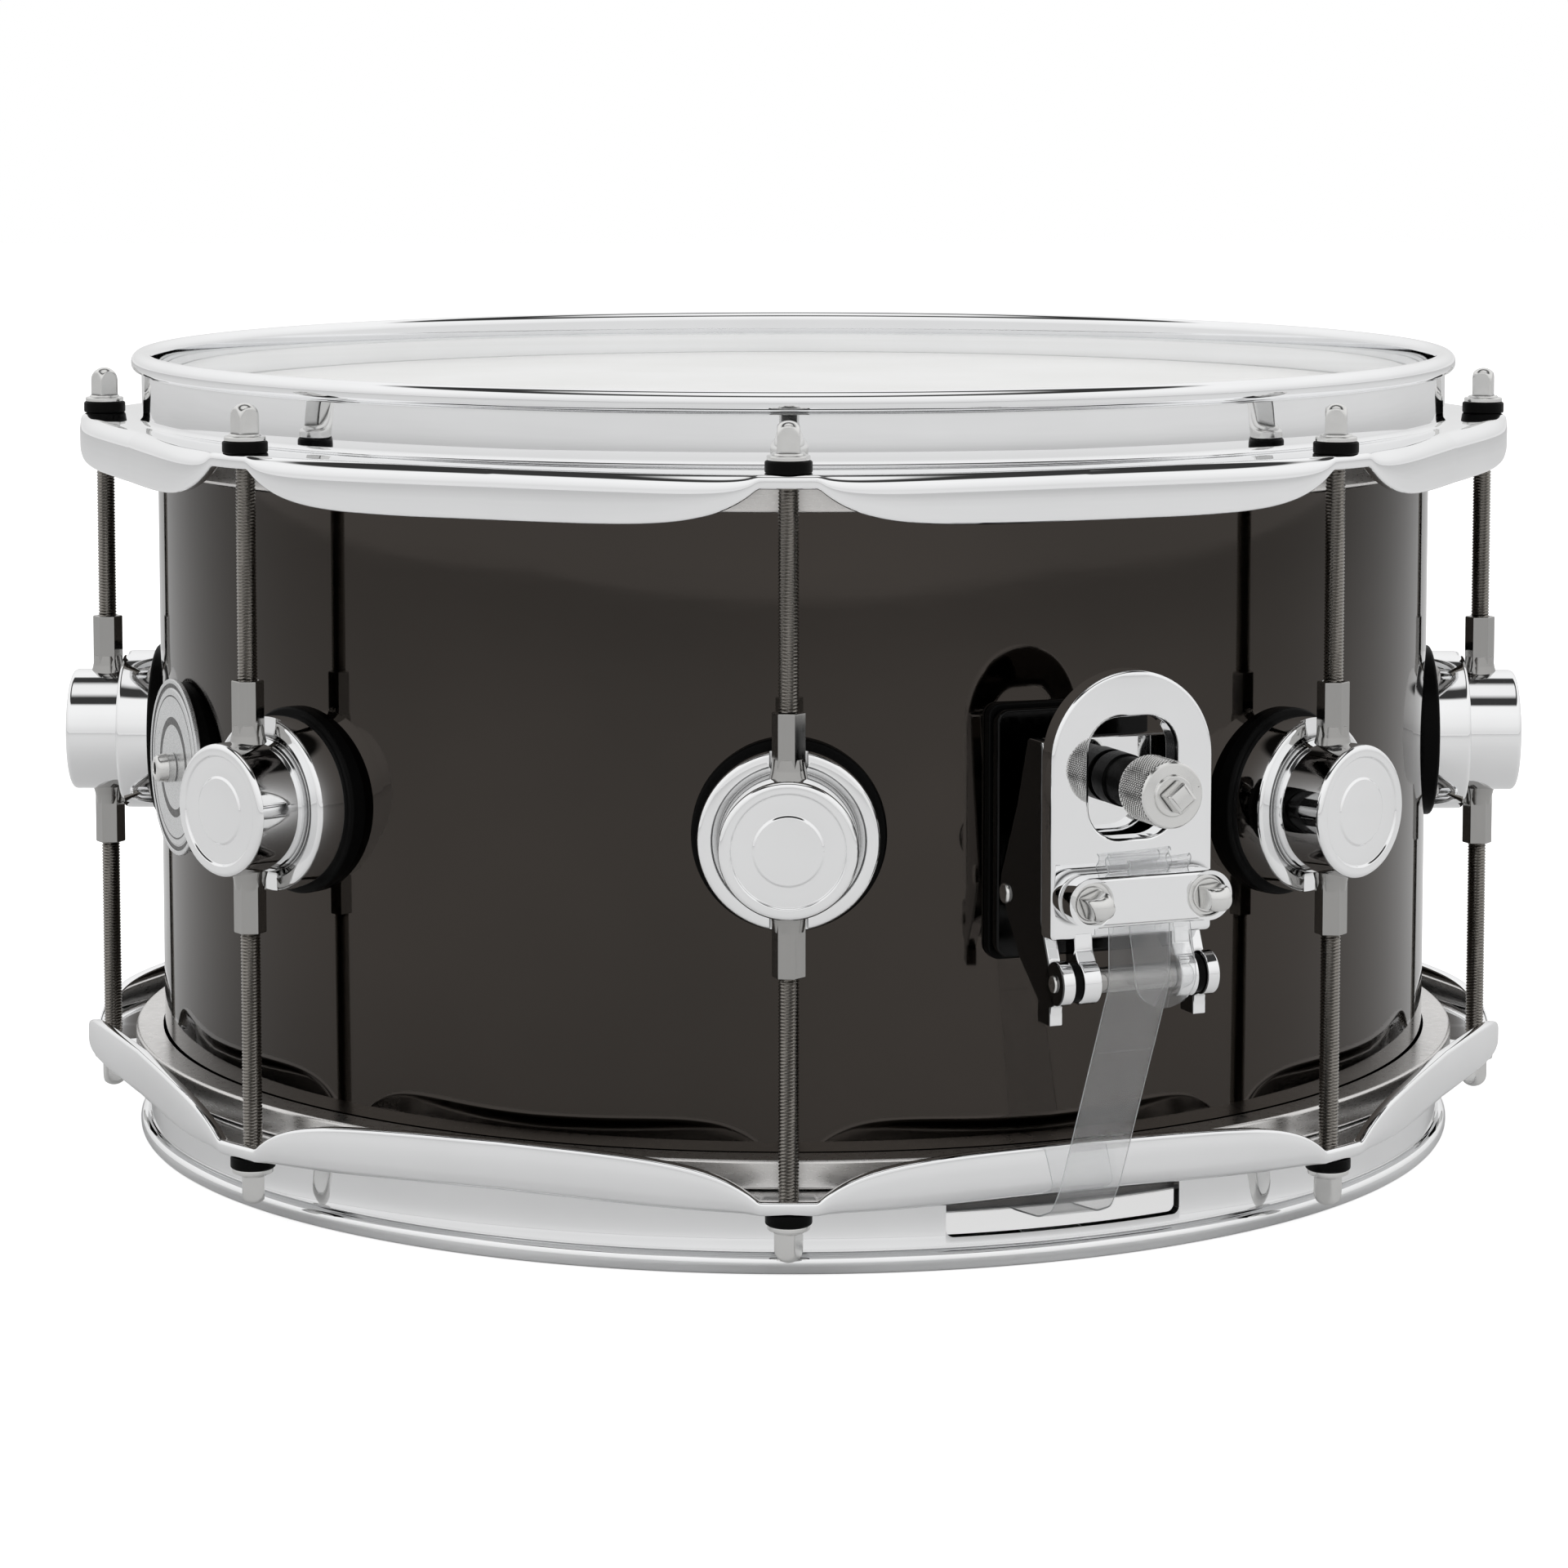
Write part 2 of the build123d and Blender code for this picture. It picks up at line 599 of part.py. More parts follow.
def butt_base():
    """Block that carries the fixed end of the snares."""
    body = block((PLATE_BACK, BUTT_SEAT), (-19.6, 19.6), (BUTT_HEIGHT - 12, BUTT_HEIGHT + 12))
    body = fillet(body.edges().filter_by(Axis.X), 5.5)
    body = fillet(body.edges().group_by(Axis.X)[-1], 1.2)
    for side in (-1, 1):
        body -= radial(SCREW_RADIUS + RUNNING_GAP, 168, 180, BUTT_HEIGHT, side * CLAMP_SCREW_SPACING / 2)
    for height in (48, 62):
        body -= radial(SCREW_RADIUS, 160, 173, height)
    return body


def butt_strap():
    """Strap from the butt plate to the far end of the wires."""
    return strip(
        [(BUTT_SEAT, 62.0), (BUTT_SEAT, 44.0), (179.0, 33.0), (178.8, 19.5), (174.5, 12.6),
         (163.0, STRAP_END), (130.0, STRAP_END)],
        1.0,
    )


# Snare wires

def snare_wires():
    """Coiled wires lying against the snare-side head, each as the rod it sweeps."""
    height = EDGE_LOW - SNARE_FILM - WIRE_RADIUS
    wires = []
    for i in range(WIRES):
        side = (i - (WIRES - 1) / 2) * WIRE_PITCH
        wire = radial(WIRE_RADIUS, -WIRE_HALF_LENGTH, WIRE_HALF_LENGTH, height, side)
        wires.append(at(STRAINER_AZIMUTH) * wire)
    return wires


def end_plates():
    """Plates that gather the wires at each end and take the straps."""
    top = EDGE_LOW - SNARE_FILM - 2 * WIRE_RADIUS
    plate = block(END_PLATE, (-20.5, 20.5), (STRAP_END, top))
    plate = fillet(plate.edges().filter_by(Axis.Z), 2)
    return [at(STRAINER_AZIMUTH) * plate, at(BUTT_AZIMUTH) * plate]


# Assembly

def strainer_nodes():
    """Every piece of the throw-off."""
    place = at(STRAINER_AZIMUTH)
    clamp_start = CLAMP_SEAT + 2 * STRAP_THICKNESS
    lift = Pos(0, 0, CLAMP_HEIGHT)
    return {
        "strainer_gasket": place * strainer_gasket(),
        "strainer_base": place * strainer_base(),
        "strainer_barrel_nut": place * barrel_nut(),
        "strainer_rocker": place * strainer_rocker(),
        "strainer_pivot_pin": place * crosswise(PIVOT_RADIUS, PIVOT, 20.2),
        "strainer_hinge_pin": place * crosswise(HINGE_RADIUS, HINGE, 20.0),
        "strainer_hinge_sleeve": place * hinge_sleeve(),
        "strainer_hinge_washers": [place * washer for washer in hinge_washers()],
        "strainer_lever": place * strainer_lever(),
        "strainer_clamp": place * (lift * clamp_bar(clamp_start)),
        "strainer_clamp_screw_left": place * (lift * clamp_screw(clamp_start, -1, 20)),
        "strainer_clamp_screw_right": place * (lift * clamp_screw(clamp_start, 1, 5)),
        "strainer_knob": place * tension_knob(),
        "strainer_knob_washer": place * knob_washer(),
        "strainer_strap": place * strainer_strap(),
    }


def butt_nodes():
    """Every piece of the butt plate."""
    place = at(BUTT_AZIMUTH)
    clamp_start = BUTT_SEAT + STRAP_THICKNESS
    lift = Pos(0, 0, BUTT_HEIGHT)
    return {
        "butt_gasket": place * butt_gasket(),
        "butt_base": place * butt_base(),
        "butt_clamp": place * (lift * clamp_bar(clamp_start)),
        "butt_clamp_screw_left": place * (lift * clamp_screw(clamp_start, -1, 10)),
        "butt_clamp_screw_right": place * (lift * clamp_screw(clamp_start, 1, 35)),
        "butt_strap": place * butt_strap(),
    }


def rod_nodes():
    """Sixteen tension rods, each head turned its own way."""
    nodes = {}
    for i, azimuth in enumerate(LUG_AZIMUTHS):
        nodes[f"batter_rod_{i + 1}"] = at(azimuth) * make_rod(37 * i)
        nodes[f"snare_rod_{i + 1}"] = at(azimuth) * below(make_rod(24.5 + 53 * i))
    return nodes


def fastener_nodes():
    """Mounting screws and washers of lugs, throw-off and butt plate."""
    screws, washers = [], []
    lug_heights = [MID - LUG_SCREW_SPACING / 2, MID + LUG_SCREW_SPACING / 2]
    places = [(azimuth, lug_heights, 173.5) for azimuth in LUG_AZIMUTHS]
    places.append((STRAINER_AZIMUTH, (78, 123), 168.8))
    places.append((BUTT_AZIMUTH, (48, 62), 172.5))
    for azimuth, heights, tip in places:
        new_screws, new_washers = screws_and_washers(azimuth, heights, tip)
        screws += new_screws
        washers += new_washers
    return {"shell_screws": screws, "shell_screw_washers": washers}


def make_nodes():
    """Every node of the drum by name."""
    tube_turns = [17 * i for i in range(LUGS)]
    hoop = make_hoop()
    nodes = {
        "shell": make_shell(),
        "batter_head": head_film(BATTER_FILM),
        "batter_flesh_hoop": flesh_hoop(BATTER_FILM),
        "snare_head": below(head_film(SNARE_FILM)),
        "snare_flesh_hoop": below(flesh_hoop(SNARE_FILM)),
        "batter_hoop": hoop,
        "snare_hoop": gates(below(hoop)),
        "lug_bodies": [at(a) * lug_body(turn) for a, turn in zip(LUG_AZIMUTHS, tube_turns)],
        "lug_gaskets": around(lug_gasket()),
        "lug_tubes": [at(a) * hex_tube(turn) for a, turn in zip(LUG_AZIMUTHS, tube_turns)],
        "batter_washers": around(nylon_washer()),
        "snare_washers": [below(washer) for washer in around(nylon_washer())],
        "badge": badge_disc(),
        "badge_pad": badge_pad(),
        "vent_stud": vent_stud(),
        "snare_wires": snare_wires(),
        "snare_end_plates": end_plates(),
    }
    nodes.update(rod_nodes())
    nodes.update(fastener_nodes())
    nodes.update(strainer_nodes())
    nodes.update(butt_nodes())
    return nodes


os.makedirs("parts", exist_ok=True)
for name, shape in make_nodes().items():
    solids = shape if isinstance(shape, list) else [shape]
    export_step(Compound(children=[s for group in solids for s in group.solids()]), f"parts/{name}.step")
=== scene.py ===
import math
import bpy
import bmesh
import numpy as np
from mathutils import Matrix, Vector
from mathutils.geometry import tessellate_polygon


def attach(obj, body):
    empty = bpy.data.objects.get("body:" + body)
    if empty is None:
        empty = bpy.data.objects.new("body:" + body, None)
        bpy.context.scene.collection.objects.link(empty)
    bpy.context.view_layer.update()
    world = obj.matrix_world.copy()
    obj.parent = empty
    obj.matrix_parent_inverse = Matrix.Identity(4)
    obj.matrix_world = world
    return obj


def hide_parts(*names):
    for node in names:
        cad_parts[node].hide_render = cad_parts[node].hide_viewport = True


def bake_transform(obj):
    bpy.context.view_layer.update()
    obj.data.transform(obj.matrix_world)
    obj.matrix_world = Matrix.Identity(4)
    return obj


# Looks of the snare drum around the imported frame.  Shapes are worked out in millimetres.
# "Local" shapes have +X pointing radially out, +Y along the shell and +Z up, as in the CAD source.

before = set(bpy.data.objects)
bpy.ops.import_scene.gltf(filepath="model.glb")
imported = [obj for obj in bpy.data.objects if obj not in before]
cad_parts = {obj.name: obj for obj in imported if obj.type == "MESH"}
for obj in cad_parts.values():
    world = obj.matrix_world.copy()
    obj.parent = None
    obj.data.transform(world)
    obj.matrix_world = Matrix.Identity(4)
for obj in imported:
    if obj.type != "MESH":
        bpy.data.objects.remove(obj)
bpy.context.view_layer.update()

MM = 0.001

# Whole drum, in millimetres and degrees
HEIGHT = 201.8
MID = HEIGHT / 2
LUGS = 8
LUG_AZIMUTHS = [360 / LUGS * i for i in range(LUGS)]
STRAINER = 22.5
BUTT = 202.5
BADGE = -66.5

# Shell, with the heights of its two bearing edges
SHELL_RADIUS = 164.5
SHELL_WALL = 1.2
EDGE_LOW = 12.0
EDGE_HIGH = 189.8

# Upper hoop; the lower one is its mirror image
HOOP_INNER = 165.6
HOOP_WALL = 168.4
HOOP_SHEET = 2.8
BEAD_RADIUS = 171.0
BEAD_HEIGHT = 4.9
EAR_TOP = 184.4
EAR_UNDER = EAR_TOP - HOOP_SHEET
EAR_RADIUS = 185.4
EAR_HALF_ANGLE = 2.1
EAR_LIP = 0.5
ARCH_SPREAD = 3.1
SKIRT_RADIUS = 177.0
SKIRT_DEPTH = 9.0
ROD_CIRCLE = 180.0

# Throw-off.  An axis that lies along the shell is given as (radius, height).
LEVER_HALF_WIDTH = 19.8
CLAMP_HEIGHT = 91.1
CLAMP_START = 204.0
CLAMP_THICKNESS = 5.5
CLAMP_SCREW_SIDE = 14.35
KNOB_HEIGHT = 115.8
HINGE = (200.6, 72.0)
SLEEVE_RADIUS = 2.95
TAIL_SHIFT = 4.5
TAIL_SLANT = 2.9
PIVOT = (175.0, 88.1)
STRAP_HALF_WIDTH = 7.5
STRAP_THICKNESS = 0.4

# Butt plate
BUTT_HEIGHT = 55.0
BUTT_CLAMP_START = 176.4


# ---------------------------------------------------------------- shapes

class Shape:
    """Vertices in millimetres and faces."""

    def __init__(self, points, faces):
        self.points = np.asarray(points, float).reshape(-1, 3)
        self.faces = faces

    def moved(self, matrix):
        m = np.array(matrix)
        return Shape(self.points @ m[:3, :3].T + m[:3, 3], self.faces)

    def __add__(self, other):
        shift = len(self.points)
        faces = self.faces + [tuple(i + shift for i in face) for face in other.faces]
        return Shape(np.vstack([self.points, other.points]), faces)


def joined(shapes):
    points, faces, shift = [], [], 0
    for shape in shapes:
        points.append(shape.points)
        faces += [tuple(i + shift for i in face) for face in shape.faces]
        shift += len(shape.points)
    return Shape(np.vstack(points), faces)


def turn(degrees, axis="Z"):
    return Matrix.Rotation(math.radians(degrees), 4, axis)


def shift(x, y, z):
    return Matrix.Translation((x, y, z))


def at(azimuth):
    """Local shapes to their place around the shell."""
    return turn(azimuth - 90)


OUTWARD = turn(90, "Y")
UPSIDE_DOWN = shift(0, 0, HEIGHT) @ Matrix.Diagonal((1, 1, -1, 1))


def polar(radius, angle, z):
    return radius * math.cos(angle), radius * math.sin(angle), z


def grid(rows, closed_rows=True):
    """Quads over a stack of closed rows with the same number of points each."""
    rows = np.asarray(rows, float)
    count, width = rows.shape[:2]
    faces = []
    for i in range(count if closed_rows else count - 1):
        a, b = i * width, (i + 1) % count * width
        for j in range(width):
            k = (j + 1) % width
            faces.append((a + j, a + k, b + k, b + j))
    return Shape(rows.reshape(-1, 3), faces)


def capped(rows):
    """Tube over a stack of closed rows, with a flat face over each end."""
    tube = grid(rows, closed_rows=False)
    width = len(rows[0])
    last = (len(rows) - 1) * width
    tube.faces.append(tuple(range(width - 1, -1, -1)))
    tube.faces.append(tuple(last + k for k in range(width)))
    return tube


def lathe(profile, steps=96):
    """Closed (radius, height) outline turned about Z.  Points on the axis may be shared."""
    angles = np.linspace(0, 2 * math.pi, steps, endpoint=False)
    return grid([[polar(r, a, z) for r, z in profile] for a in angles])


def rounded(corners, radius=0.0, steps=5):
    """Closed outline with arcs at its corners.  A corner is (x, y) or (x, y, own radius)."""
    outline = []
    count = len(corners)
    for i in range(count):
        before = Vector(corners[i - 1][:2])
        corner = Vector(corners[i][:2])
        after = Vector(corners[(i + 1) % count][:2])
        own = corners[i][2] if len(corners[i]) > 2 else radius
        one, two = before - corner, after - corner
        half = one.angle(two) / 2
        if own <= 0 or half > math.pi / 2 - 0.01:
            outline.append(tuple(corner))
            continue
        reach = min(own / math.tan(half), 0.49 * one.length, 0.49 * two.length)
        own = reach * math.tan(half)
        middle = (one.normalized() + two.normalized()).normalized()
        centre = corner + middle * (own / math.sin(half))
        start = corner + one.normalized() * reach - centre
        end = corner + two.normalized() * reach - centre
        sweep = start.angle_signed(end)
        for k in range(steps + 1):
            arm = Matrix.Rotation(-sweep * k / steps, 2) @ start
            outline.append(tuple(centre + arm))
    return outline


def circle(x, y, radius, steps=48):
    return [
        (x + radius * math.cos(2 * math.pi * k / steps), y + radius * math.sin(2 * math.pi * k / steps))
        for k in range(steps)
    ]


def area(loop):
    return sum(a[0] * b[1] - b[0] * a[1] for a, b in zip(loop, loop[1:] + loop[:1])) / 2


def inset(loop, amount):
    """Move every point of a loop into the material on its left."""
    points = np.array(loop)
    ahead = np.roll(points, -1, 0) - points
    behind = points - np.roll(points, 1, 0)
    ahead /= np.maximum(np.linalg.norm(ahead, axis=1, keepdims=True), 1e-9)
    behind /= np.maximum(np.linalg.norm(behind, axis=1, keepdims=True), 1e-9)
    normals = np.stack([-(ahead + behind)[:, 1], (ahead + behind)[:, 0]], 1)
    length = np.linalg.norm(normals, axis=1, keepdims=True)
    mitre = np.minimum(2 / np.maximum(length, 0.7), 1.4)
    return points + normals / np.maximum(length, 1e-9) * amount * mitre


def slab(outer, holes=(), low=0.0, high=1.0, bevel=0.5, steps=3):
    """Plate in the XY plane with rounded edges and holes."""
    loops = [outer if area(outer) > 0 else outer[::-1]]
    loops += [hole if area(hole) < 0 else hole[::-1] for hole in holes]
    levels = [(bevel * (1 - math.sin(q)), low + bevel * (1 - math.cos(q)))
              for q in np.linspace(0, math.pi / 2, steps + 1)]
    levels += [(d, low + high - z) for d, z in reversed(levels)]
    points, faces = [], []
    rings = [[] for _ in levels]
    for loop in loops:
        for ring, (depth, z) in zip(rings, levels):
            start = len(points)
            points += [(x, y, z) for x, y in inset(loop, depth)]
            ring.append(range(start, start + len(loop)))
    for below, above in zip(rings, rings[1:]):
        for one, two in zip(below, above):
            count = len(one)
            faces += [(one[i], one[(i + 1) % count], two[(i + 1) % count], two[i]) for i in range(count)]
    for ring in (rings[0], rings[-1]):
        flat = [i for loop in ring for i in loop]
        cap = tessellate_polygon([[Vector(points[i]) for i in loop] for loop in ring])
        faces += [tuple(flat[i] for i in triangle) for triangle in cap]
    return Shape(points, faces)


# Plates that stand upright: across the radius, or along it
FACING_OUT = Matrix(((0, 0, 1, 0), (1, 0, 0, 0), (0, 1, 0, 0), (0, 0, 0, 1)))
SIDEWAYS = Matrix(((1, 0, 0, 0), (0, 0, -1, 0), (0, 1, 0, 0), (0, 0, 0, 1)))


def facing(outer, holes, low, high, bevel, steps=3):
    """Plate from (side, height) outlines between two radii."""
    return slab(outer, holes, low, high, bevel, steps).moved(FACING_OUT)


def sideways(outer, holes, low, high, bevel, steps=3):
    """Plate from (radius, height) outlines between two side positions."""
    return slab(outer, holes, -high, -low, bevel, steps).moved(SIDEWAYS)


def radial(profile, height=0.0, side=0.0, steps=64):
    """Turned part about a radial axis, from (own radius, distance from the drum axis) points."""
    return lathe(profile, steps).moved(shift(0, side, height) @ OUTWARD)


def crosswise(profile, centre, steps=48):
    """Turned part about an axis along the shell, from (own radius, side position) points."""
    return lathe(profile, steps).moved(shift(centre[0], 0, centre[1]) @ turn(-90, "X"))


def disc_profile(inner, outer, low, high, bevel, steps=3):
    """Washer outline with rounded outer edges."""
    return rounded([(inner, low), (outer, low, bevel), (outer, high, bevel), (inner, high)], 0, steps)


# ---------------------------------------------------------------- pieces

def add_piece(name, shape, body, material, replaced=(), sharp=38, weighted=True, merge=True):
    """Turn a shape into a smooth-shaded Blender object that rides on a body."""
    mesh = bpy.data.meshes.new(name)
    mesh.from_pydata((shape.points * MM).tolist(), [], shape.faces)
    work = bmesh.new()
    work.from_mesh(mesh)
    if merge:
        bmesh.ops.remove_doubles(work, verts=work.verts, dist=2e-6)
        bmesh.ops.dissolve_degenerate(work, edges=work.edges, dist=1e-6)
    bmesh.ops.recalc_face_normals(work, faces=work.faces)
    work.to_mesh(mesh)
    work.free()
    mesh.shade_smooth()
    mesh.set_sharp_from_angle(angle=math.radians(sharp))
    piece = bpy.data.objects.new(name, mesh)
    bpy.context.scene.collection.objects.link(piece)
    mesh.materials.append(material)
    if weighted:
        modifier = piece.modifiers.new("even normals", "WEIGHTED_NORMAL")
        modifier.keep_sharp = True
    if replaced:
        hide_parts(*replaced)
    if body:
        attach(piece, body)
    return piece


def cut(piece, cutters):
    """Subtract cutter shapes from a piece and apply the result."""
    mesh = bpy.data.meshes.new("cutter")
    shape = joined(cutters)
    mesh.from_pydata((shape.points * MM).tolist(), [], shape.faces)
    work = bmesh.new()
    work.from_mesh(mesh)
    bmesh.ops.recalc_face_normals(work, faces=work.faces)
    work.to_mesh(mesh)
    work.free()
    cutter = bpy.data.objects.new("cutter", mesh)
    bpy.context.scene.collection.objects.link(cutter)
    modifier = piece.modifiers.new("cut", "BOOLEAN")
    modifier.operation = "DIFFERENCE"
    modifier.solver = "EXACT"
    modifier.object = cutter
    kept = [m for m in piece.modifiers if m != modifier]
    for other in kept:
        other.show_viewport = False
    evaluated = piece.evaluated_get(bpy.context.evaluated_depsgraph_get())
    result = bpy.data.meshes.new_from_object(evaluated)
    piece.modifiers.remove(modifier)
    for other in kept:
        other.show_viewport = True
    result.shade_smooth()
    result.set_sharp_from_angle(angle=math.radians(38))
    piece.data = result
    bpy.data.objects.remove(cutter)


# ---------------------------------------------------------------- materials

def new_material(name):
    material = bpy.data.materials.new(name)
    material.use_nodes = True
    nodes = material.node_tree.nodes
    return material, nodes, material.node_tree.links, nodes["Principled BSDF"]


def noise(nodes, links, scale, detail=4.0, stretch=None):
    """Noise in object space, with `scale` features per metre."""
    coordinates = nodes.new("ShaderNodeTexCoord")
    texture = nodes.new("ShaderNodeTexNoise")
    texture.inputs["Scale"].default_value = scale
    texture.inputs["Detail"].default_value = detail
    source = coordinates.outputs["Object"]
    if stretch:
        mapping = nodes.new("ShaderNodeMapping")
        mapping.inputs["Scale"].default_value = stretch
        links.new(source, mapping.inputs["Vector"])
        source = mapping.outputs["Vector"]
    links.new(source, texture.inputs["Vector"])
    return texture.outputs["Fac"]


def ramp(nodes, links, source, stops):
    """Colour ramp; a stop is (position, value or colour)."""
    node = nodes.new("ShaderNodeValToRGB")
    elements = node.color_ramp.elements
    while len(elements) < len(stops):
        elements.new(0.5)
    for element, (position, value) in zip(elements, stops):
        element.position = position
        colour = value if isinstance(value, (tuple, list)) else (value, value, value)
        element.color = (*colour, 1)
    links.new(source, node.inputs["Fac"])
    return node.outputs["Color"]


def bump(nodes, links, source, principled, strength, distance):
    node = nodes.new("ShaderNodeBump")
    node.inputs["Strength"].default_value = strength
    node.inputs["Distance"].default_value = distance
    links.new(source, node.inputs["Height"])
    links.new(node.outputs["Normal"], principled.inputs["Normal"])


def paint_crease_shade(nodes, links, colour, reach):
    """Painted shade: darken a colour in corners tighter than `reach` metres, using ambient occlusion."""
    shade = nodes.new("ShaderNodeAmbientOcclusion")
    shade.samples = 8
    shade.only_local = True
    shade.inputs["Distance"].default_value = reach
    product = nodes.new("ShaderNodeVectorMath")
    product.operation = "MULTIPLY"
    links.new(colour, product.inputs[0])
    links.new(ramp(nodes, links, shade.outputs["AO"], [(0.45, 0.03), (0.82, 1.0)]), product.inputs[1])
    return product.outputs["Vector"]


def metal(name, colour, roughness, spread=0.04, grain=900, bump_height=0.0, stretch=None, tint=0.06,
          crease_shade_reach=0.0):
    """Metal whose colour and roughness drift a little over the surface, with painted shade in tight
    creases when asked.
    """
    material, nodes, links, principled = new_material(name)
    principled.inputs["Metallic"].default_value = 1.0
    cloud = noise(nodes, links, 35, 3)
    dark = tuple(c * (1 - tint) for c in colour)
    shaded = ramp(nodes, links, cloud, [(0.3, dark), (0.7, colour)])
    # Painted shade: ambient occlusion darkens the colour in tight creases.
    if crease_shade_reach:
        shaded = paint_crease_shade(nodes, links, shaded, crease_shade_reach)
    links.new(shaded, principled.inputs["Base Color"])
    fine = noise(nodes, links, grain, 5, stretch)
    low, high = max(roughness - spread, 0.01), roughness + spread
    links.new(ramp(nodes, links, fine, [(0.35, low), (0.65, high)]), principled.inputs["Roughness"])
    if bump_height:
        bump(nodes, links, fine, principled, 0.4, bump_height)
    return material


def plastic(name, colour, roughness, grain=1500, bump_height=0.00003, tint=0.25, shine=0.5):
    """Moulded plastic or rubber with a fine texture."""
    material, nodes, links, principled = new_material(name)
    principled.inputs["Specular IOR Level"].default_value = shine
    cloud = noise(nodes, links, 60, 4)
    light = tuple(min(c * (1 + tint), 1) for c in colour)
    links.new(ramp(nodes, links, cloud, [(0.3, colour), (0.75, light)]), principled.inputs["Base Color"])
    fine = noise(nodes, links, grain, 4)
    links.new(
        ramp(nodes, links, fine, [(0.3, roughness - 0.07), (0.7, roughness + 0.07)]),
        principled.inputs["Roughness"],
    )
    bump(nodes, links, fine, principled, 0.3, bump_height)
    return material


def black_nickel():
    """Dark mirror plating with a faint brushed drift round the shell."""
    material, nodes, links, principled = new_material("black_nickel")
    principled.inputs["Metallic"].default_value = 1.0
    cloud = noise(nodes, links, 9, 3)
    links.new(
        ramp(nodes, links, cloud, [(0.3, (0.052, 0.046, 0.041)), (0.7, (0.062, 0.054, 0.048))]),
        principled.inputs["Base Color"],
    )
    haze = noise(nodes, links, 60, 5, (1, 1, 6))
    links.new(ramp(nodes, links, haze, [(0.3, 0.035), (0.8, 0.07)]), principled.inputs["Roughness"])
    return material


def coated_film():
    """White sprayed coating with a fine stipple."""
    material, nodes, links, principled = new_material("coated_film")
    cloud = noise(nodes, links, 25, 4)
    links.new(
        ramp(nodes, links, cloud, [(0.3, (0.80, 0.80, 0.79)), (0.7, (0.84, 0.84, 0.835))]),
        principled.inputs["Base Color"],
    )
    principled.inputs["Roughness"].default_value = 0.55
    stipple = noise(nodes, links, 2600, 3)
    bump(nodes, links, stipple, principled, 0.35, 0.00006)
    return material


def clear_plastic(name, tint, roughness):
    """Thin clear plastic, slightly milky, with faint scuffs."""
    material, nodes, links, principled = new_material(name)
    principled.inputs["Base Color"].default_value = (*tint, 1)
    principled.inputs["Transmission Weight"].default_value = 1.0
    principled.inputs["IOR"].default_value = 1.45
    scuffs = noise(nodes, links, 500, 5, (1, 1, 0.15))
    links.new(
        ramp(nodes, links, scuffs, [(0.35, roughness), (0.75, roughness + 0.12)]),
        principled.inputs["Roughness"],
    )
    milk = nodes.new("ShaderNodeBsdfDiffuse")
    milk.inputs["Color"].default_value = (0.85, 0.86, 0.87, 1)
    clear = nodes.new("ShaderNodeBsdfTransparent")
    see_through = nodes.new("ShaderNodeMixShader")
    see_through.inputs["Fac"].default_value = 0.78
    mix = nodes.new("ShaderNodeMixShader")
    mix.inputs["Fac"].default_value = 0.05
    output = nodes["Material Output"]
    links.new(principled.outputs["BSDF"], see_through.inputs[1])
    links.new(clear.outputs["BSDF"], see_through.inputs[2])
    links.new(see_through.outputs["Shader"], mix.inputs[1])
    links.new(milk.outputs["BSDF"], mix.inputs[2])
    links.new(mix.outputs["Shader"], output.inputs["Surface"])
    return material


# Chrome, cast chrome, nickel and rod steel get painted shade in their tight creases.
CHROME = metal("chrome", (0.92, 0.924, 0.93), 0.03, 0.015, 400, tint=0.03, crease_shade_reach=0.0016)
CAST_CHROME = metal("cast_chrome", (0.92, 0.923, 0.927), 0.045, 0.02, 300, 0.000003, tint=0.04,
                    crease_shade_reach=0.0018)
SATIN_NICKEL = metal("satin_nickel", (0.40, 0.395, 0.385), 0.14, 0.05, 700, 0.000004, (1, 1, 0.08))
NICKEL = metal("nickel", (0.78, 0.777, 0.765), 0.20, 0.04, 500, 0.000003, crease_shade_reach=0.0008)
ROD_STEEL = metal("rod_steel", (0.25, 0.235, 0.215), 0.22, 0.03, 400, tint=0.08, crease_shade_reach=0.0005)
# Painted dark reflection: dark metal for the rocker's side faces, standing for the dark shell they
# reflect.
ROCKER_SIDE_PAINTED_REFLECTION = metal("rocker_side_painted_reflection", (0.11, 0.11, 0.11), 0.08, 0.03, 500, 0.000002, tint=0.2)
# Dark metal given to the whole throw-off base.
DARK_BASE_METAL = metal("dark_base_metal", (0.018, 0.018, 0.018), 0.14, 0.05, 600, 0.000003, tint=0.3)
ZINC = metal("zinc", (0.62, 0.63, 0.64), 0.3, 0.08, 600, 0.000008, tint=0.15)
ALUMINIUM = metal("aluminium", (0.72, 0.705, 0.69), 0.30, 0.04, 500, 0.000001, (1, 1, 8))
WIRE = metal("wire", (0.66, 0.66, 0.67), 0.22, 0.06, 800, tint=0.12)
BLACK_NICKEL = black_nickel()
NYLON = plastic("black_nylon", (0.002, 0.002, 0.002), 0.42, shine=0.06)
RUBBER = plastic("gasket_rubber", (0.002, 0.002, 0.002), 0.40, shine=0.05)
COATED = coated_film()
CLEAR_FILM = clear_plastic("clear_film", (0.95, 0.96, 0.97), 0.08)
CLEAR_STRAP = clear_plastic("clear_strap", (0.93, 0.94, 0.95), 0.10)
STRAP_EDGE = plastic("strap_edge", (0.62, 0.63, 0.64), 0.3, tint=0.1)


# ---------------------------------------------------------------- shell and heads

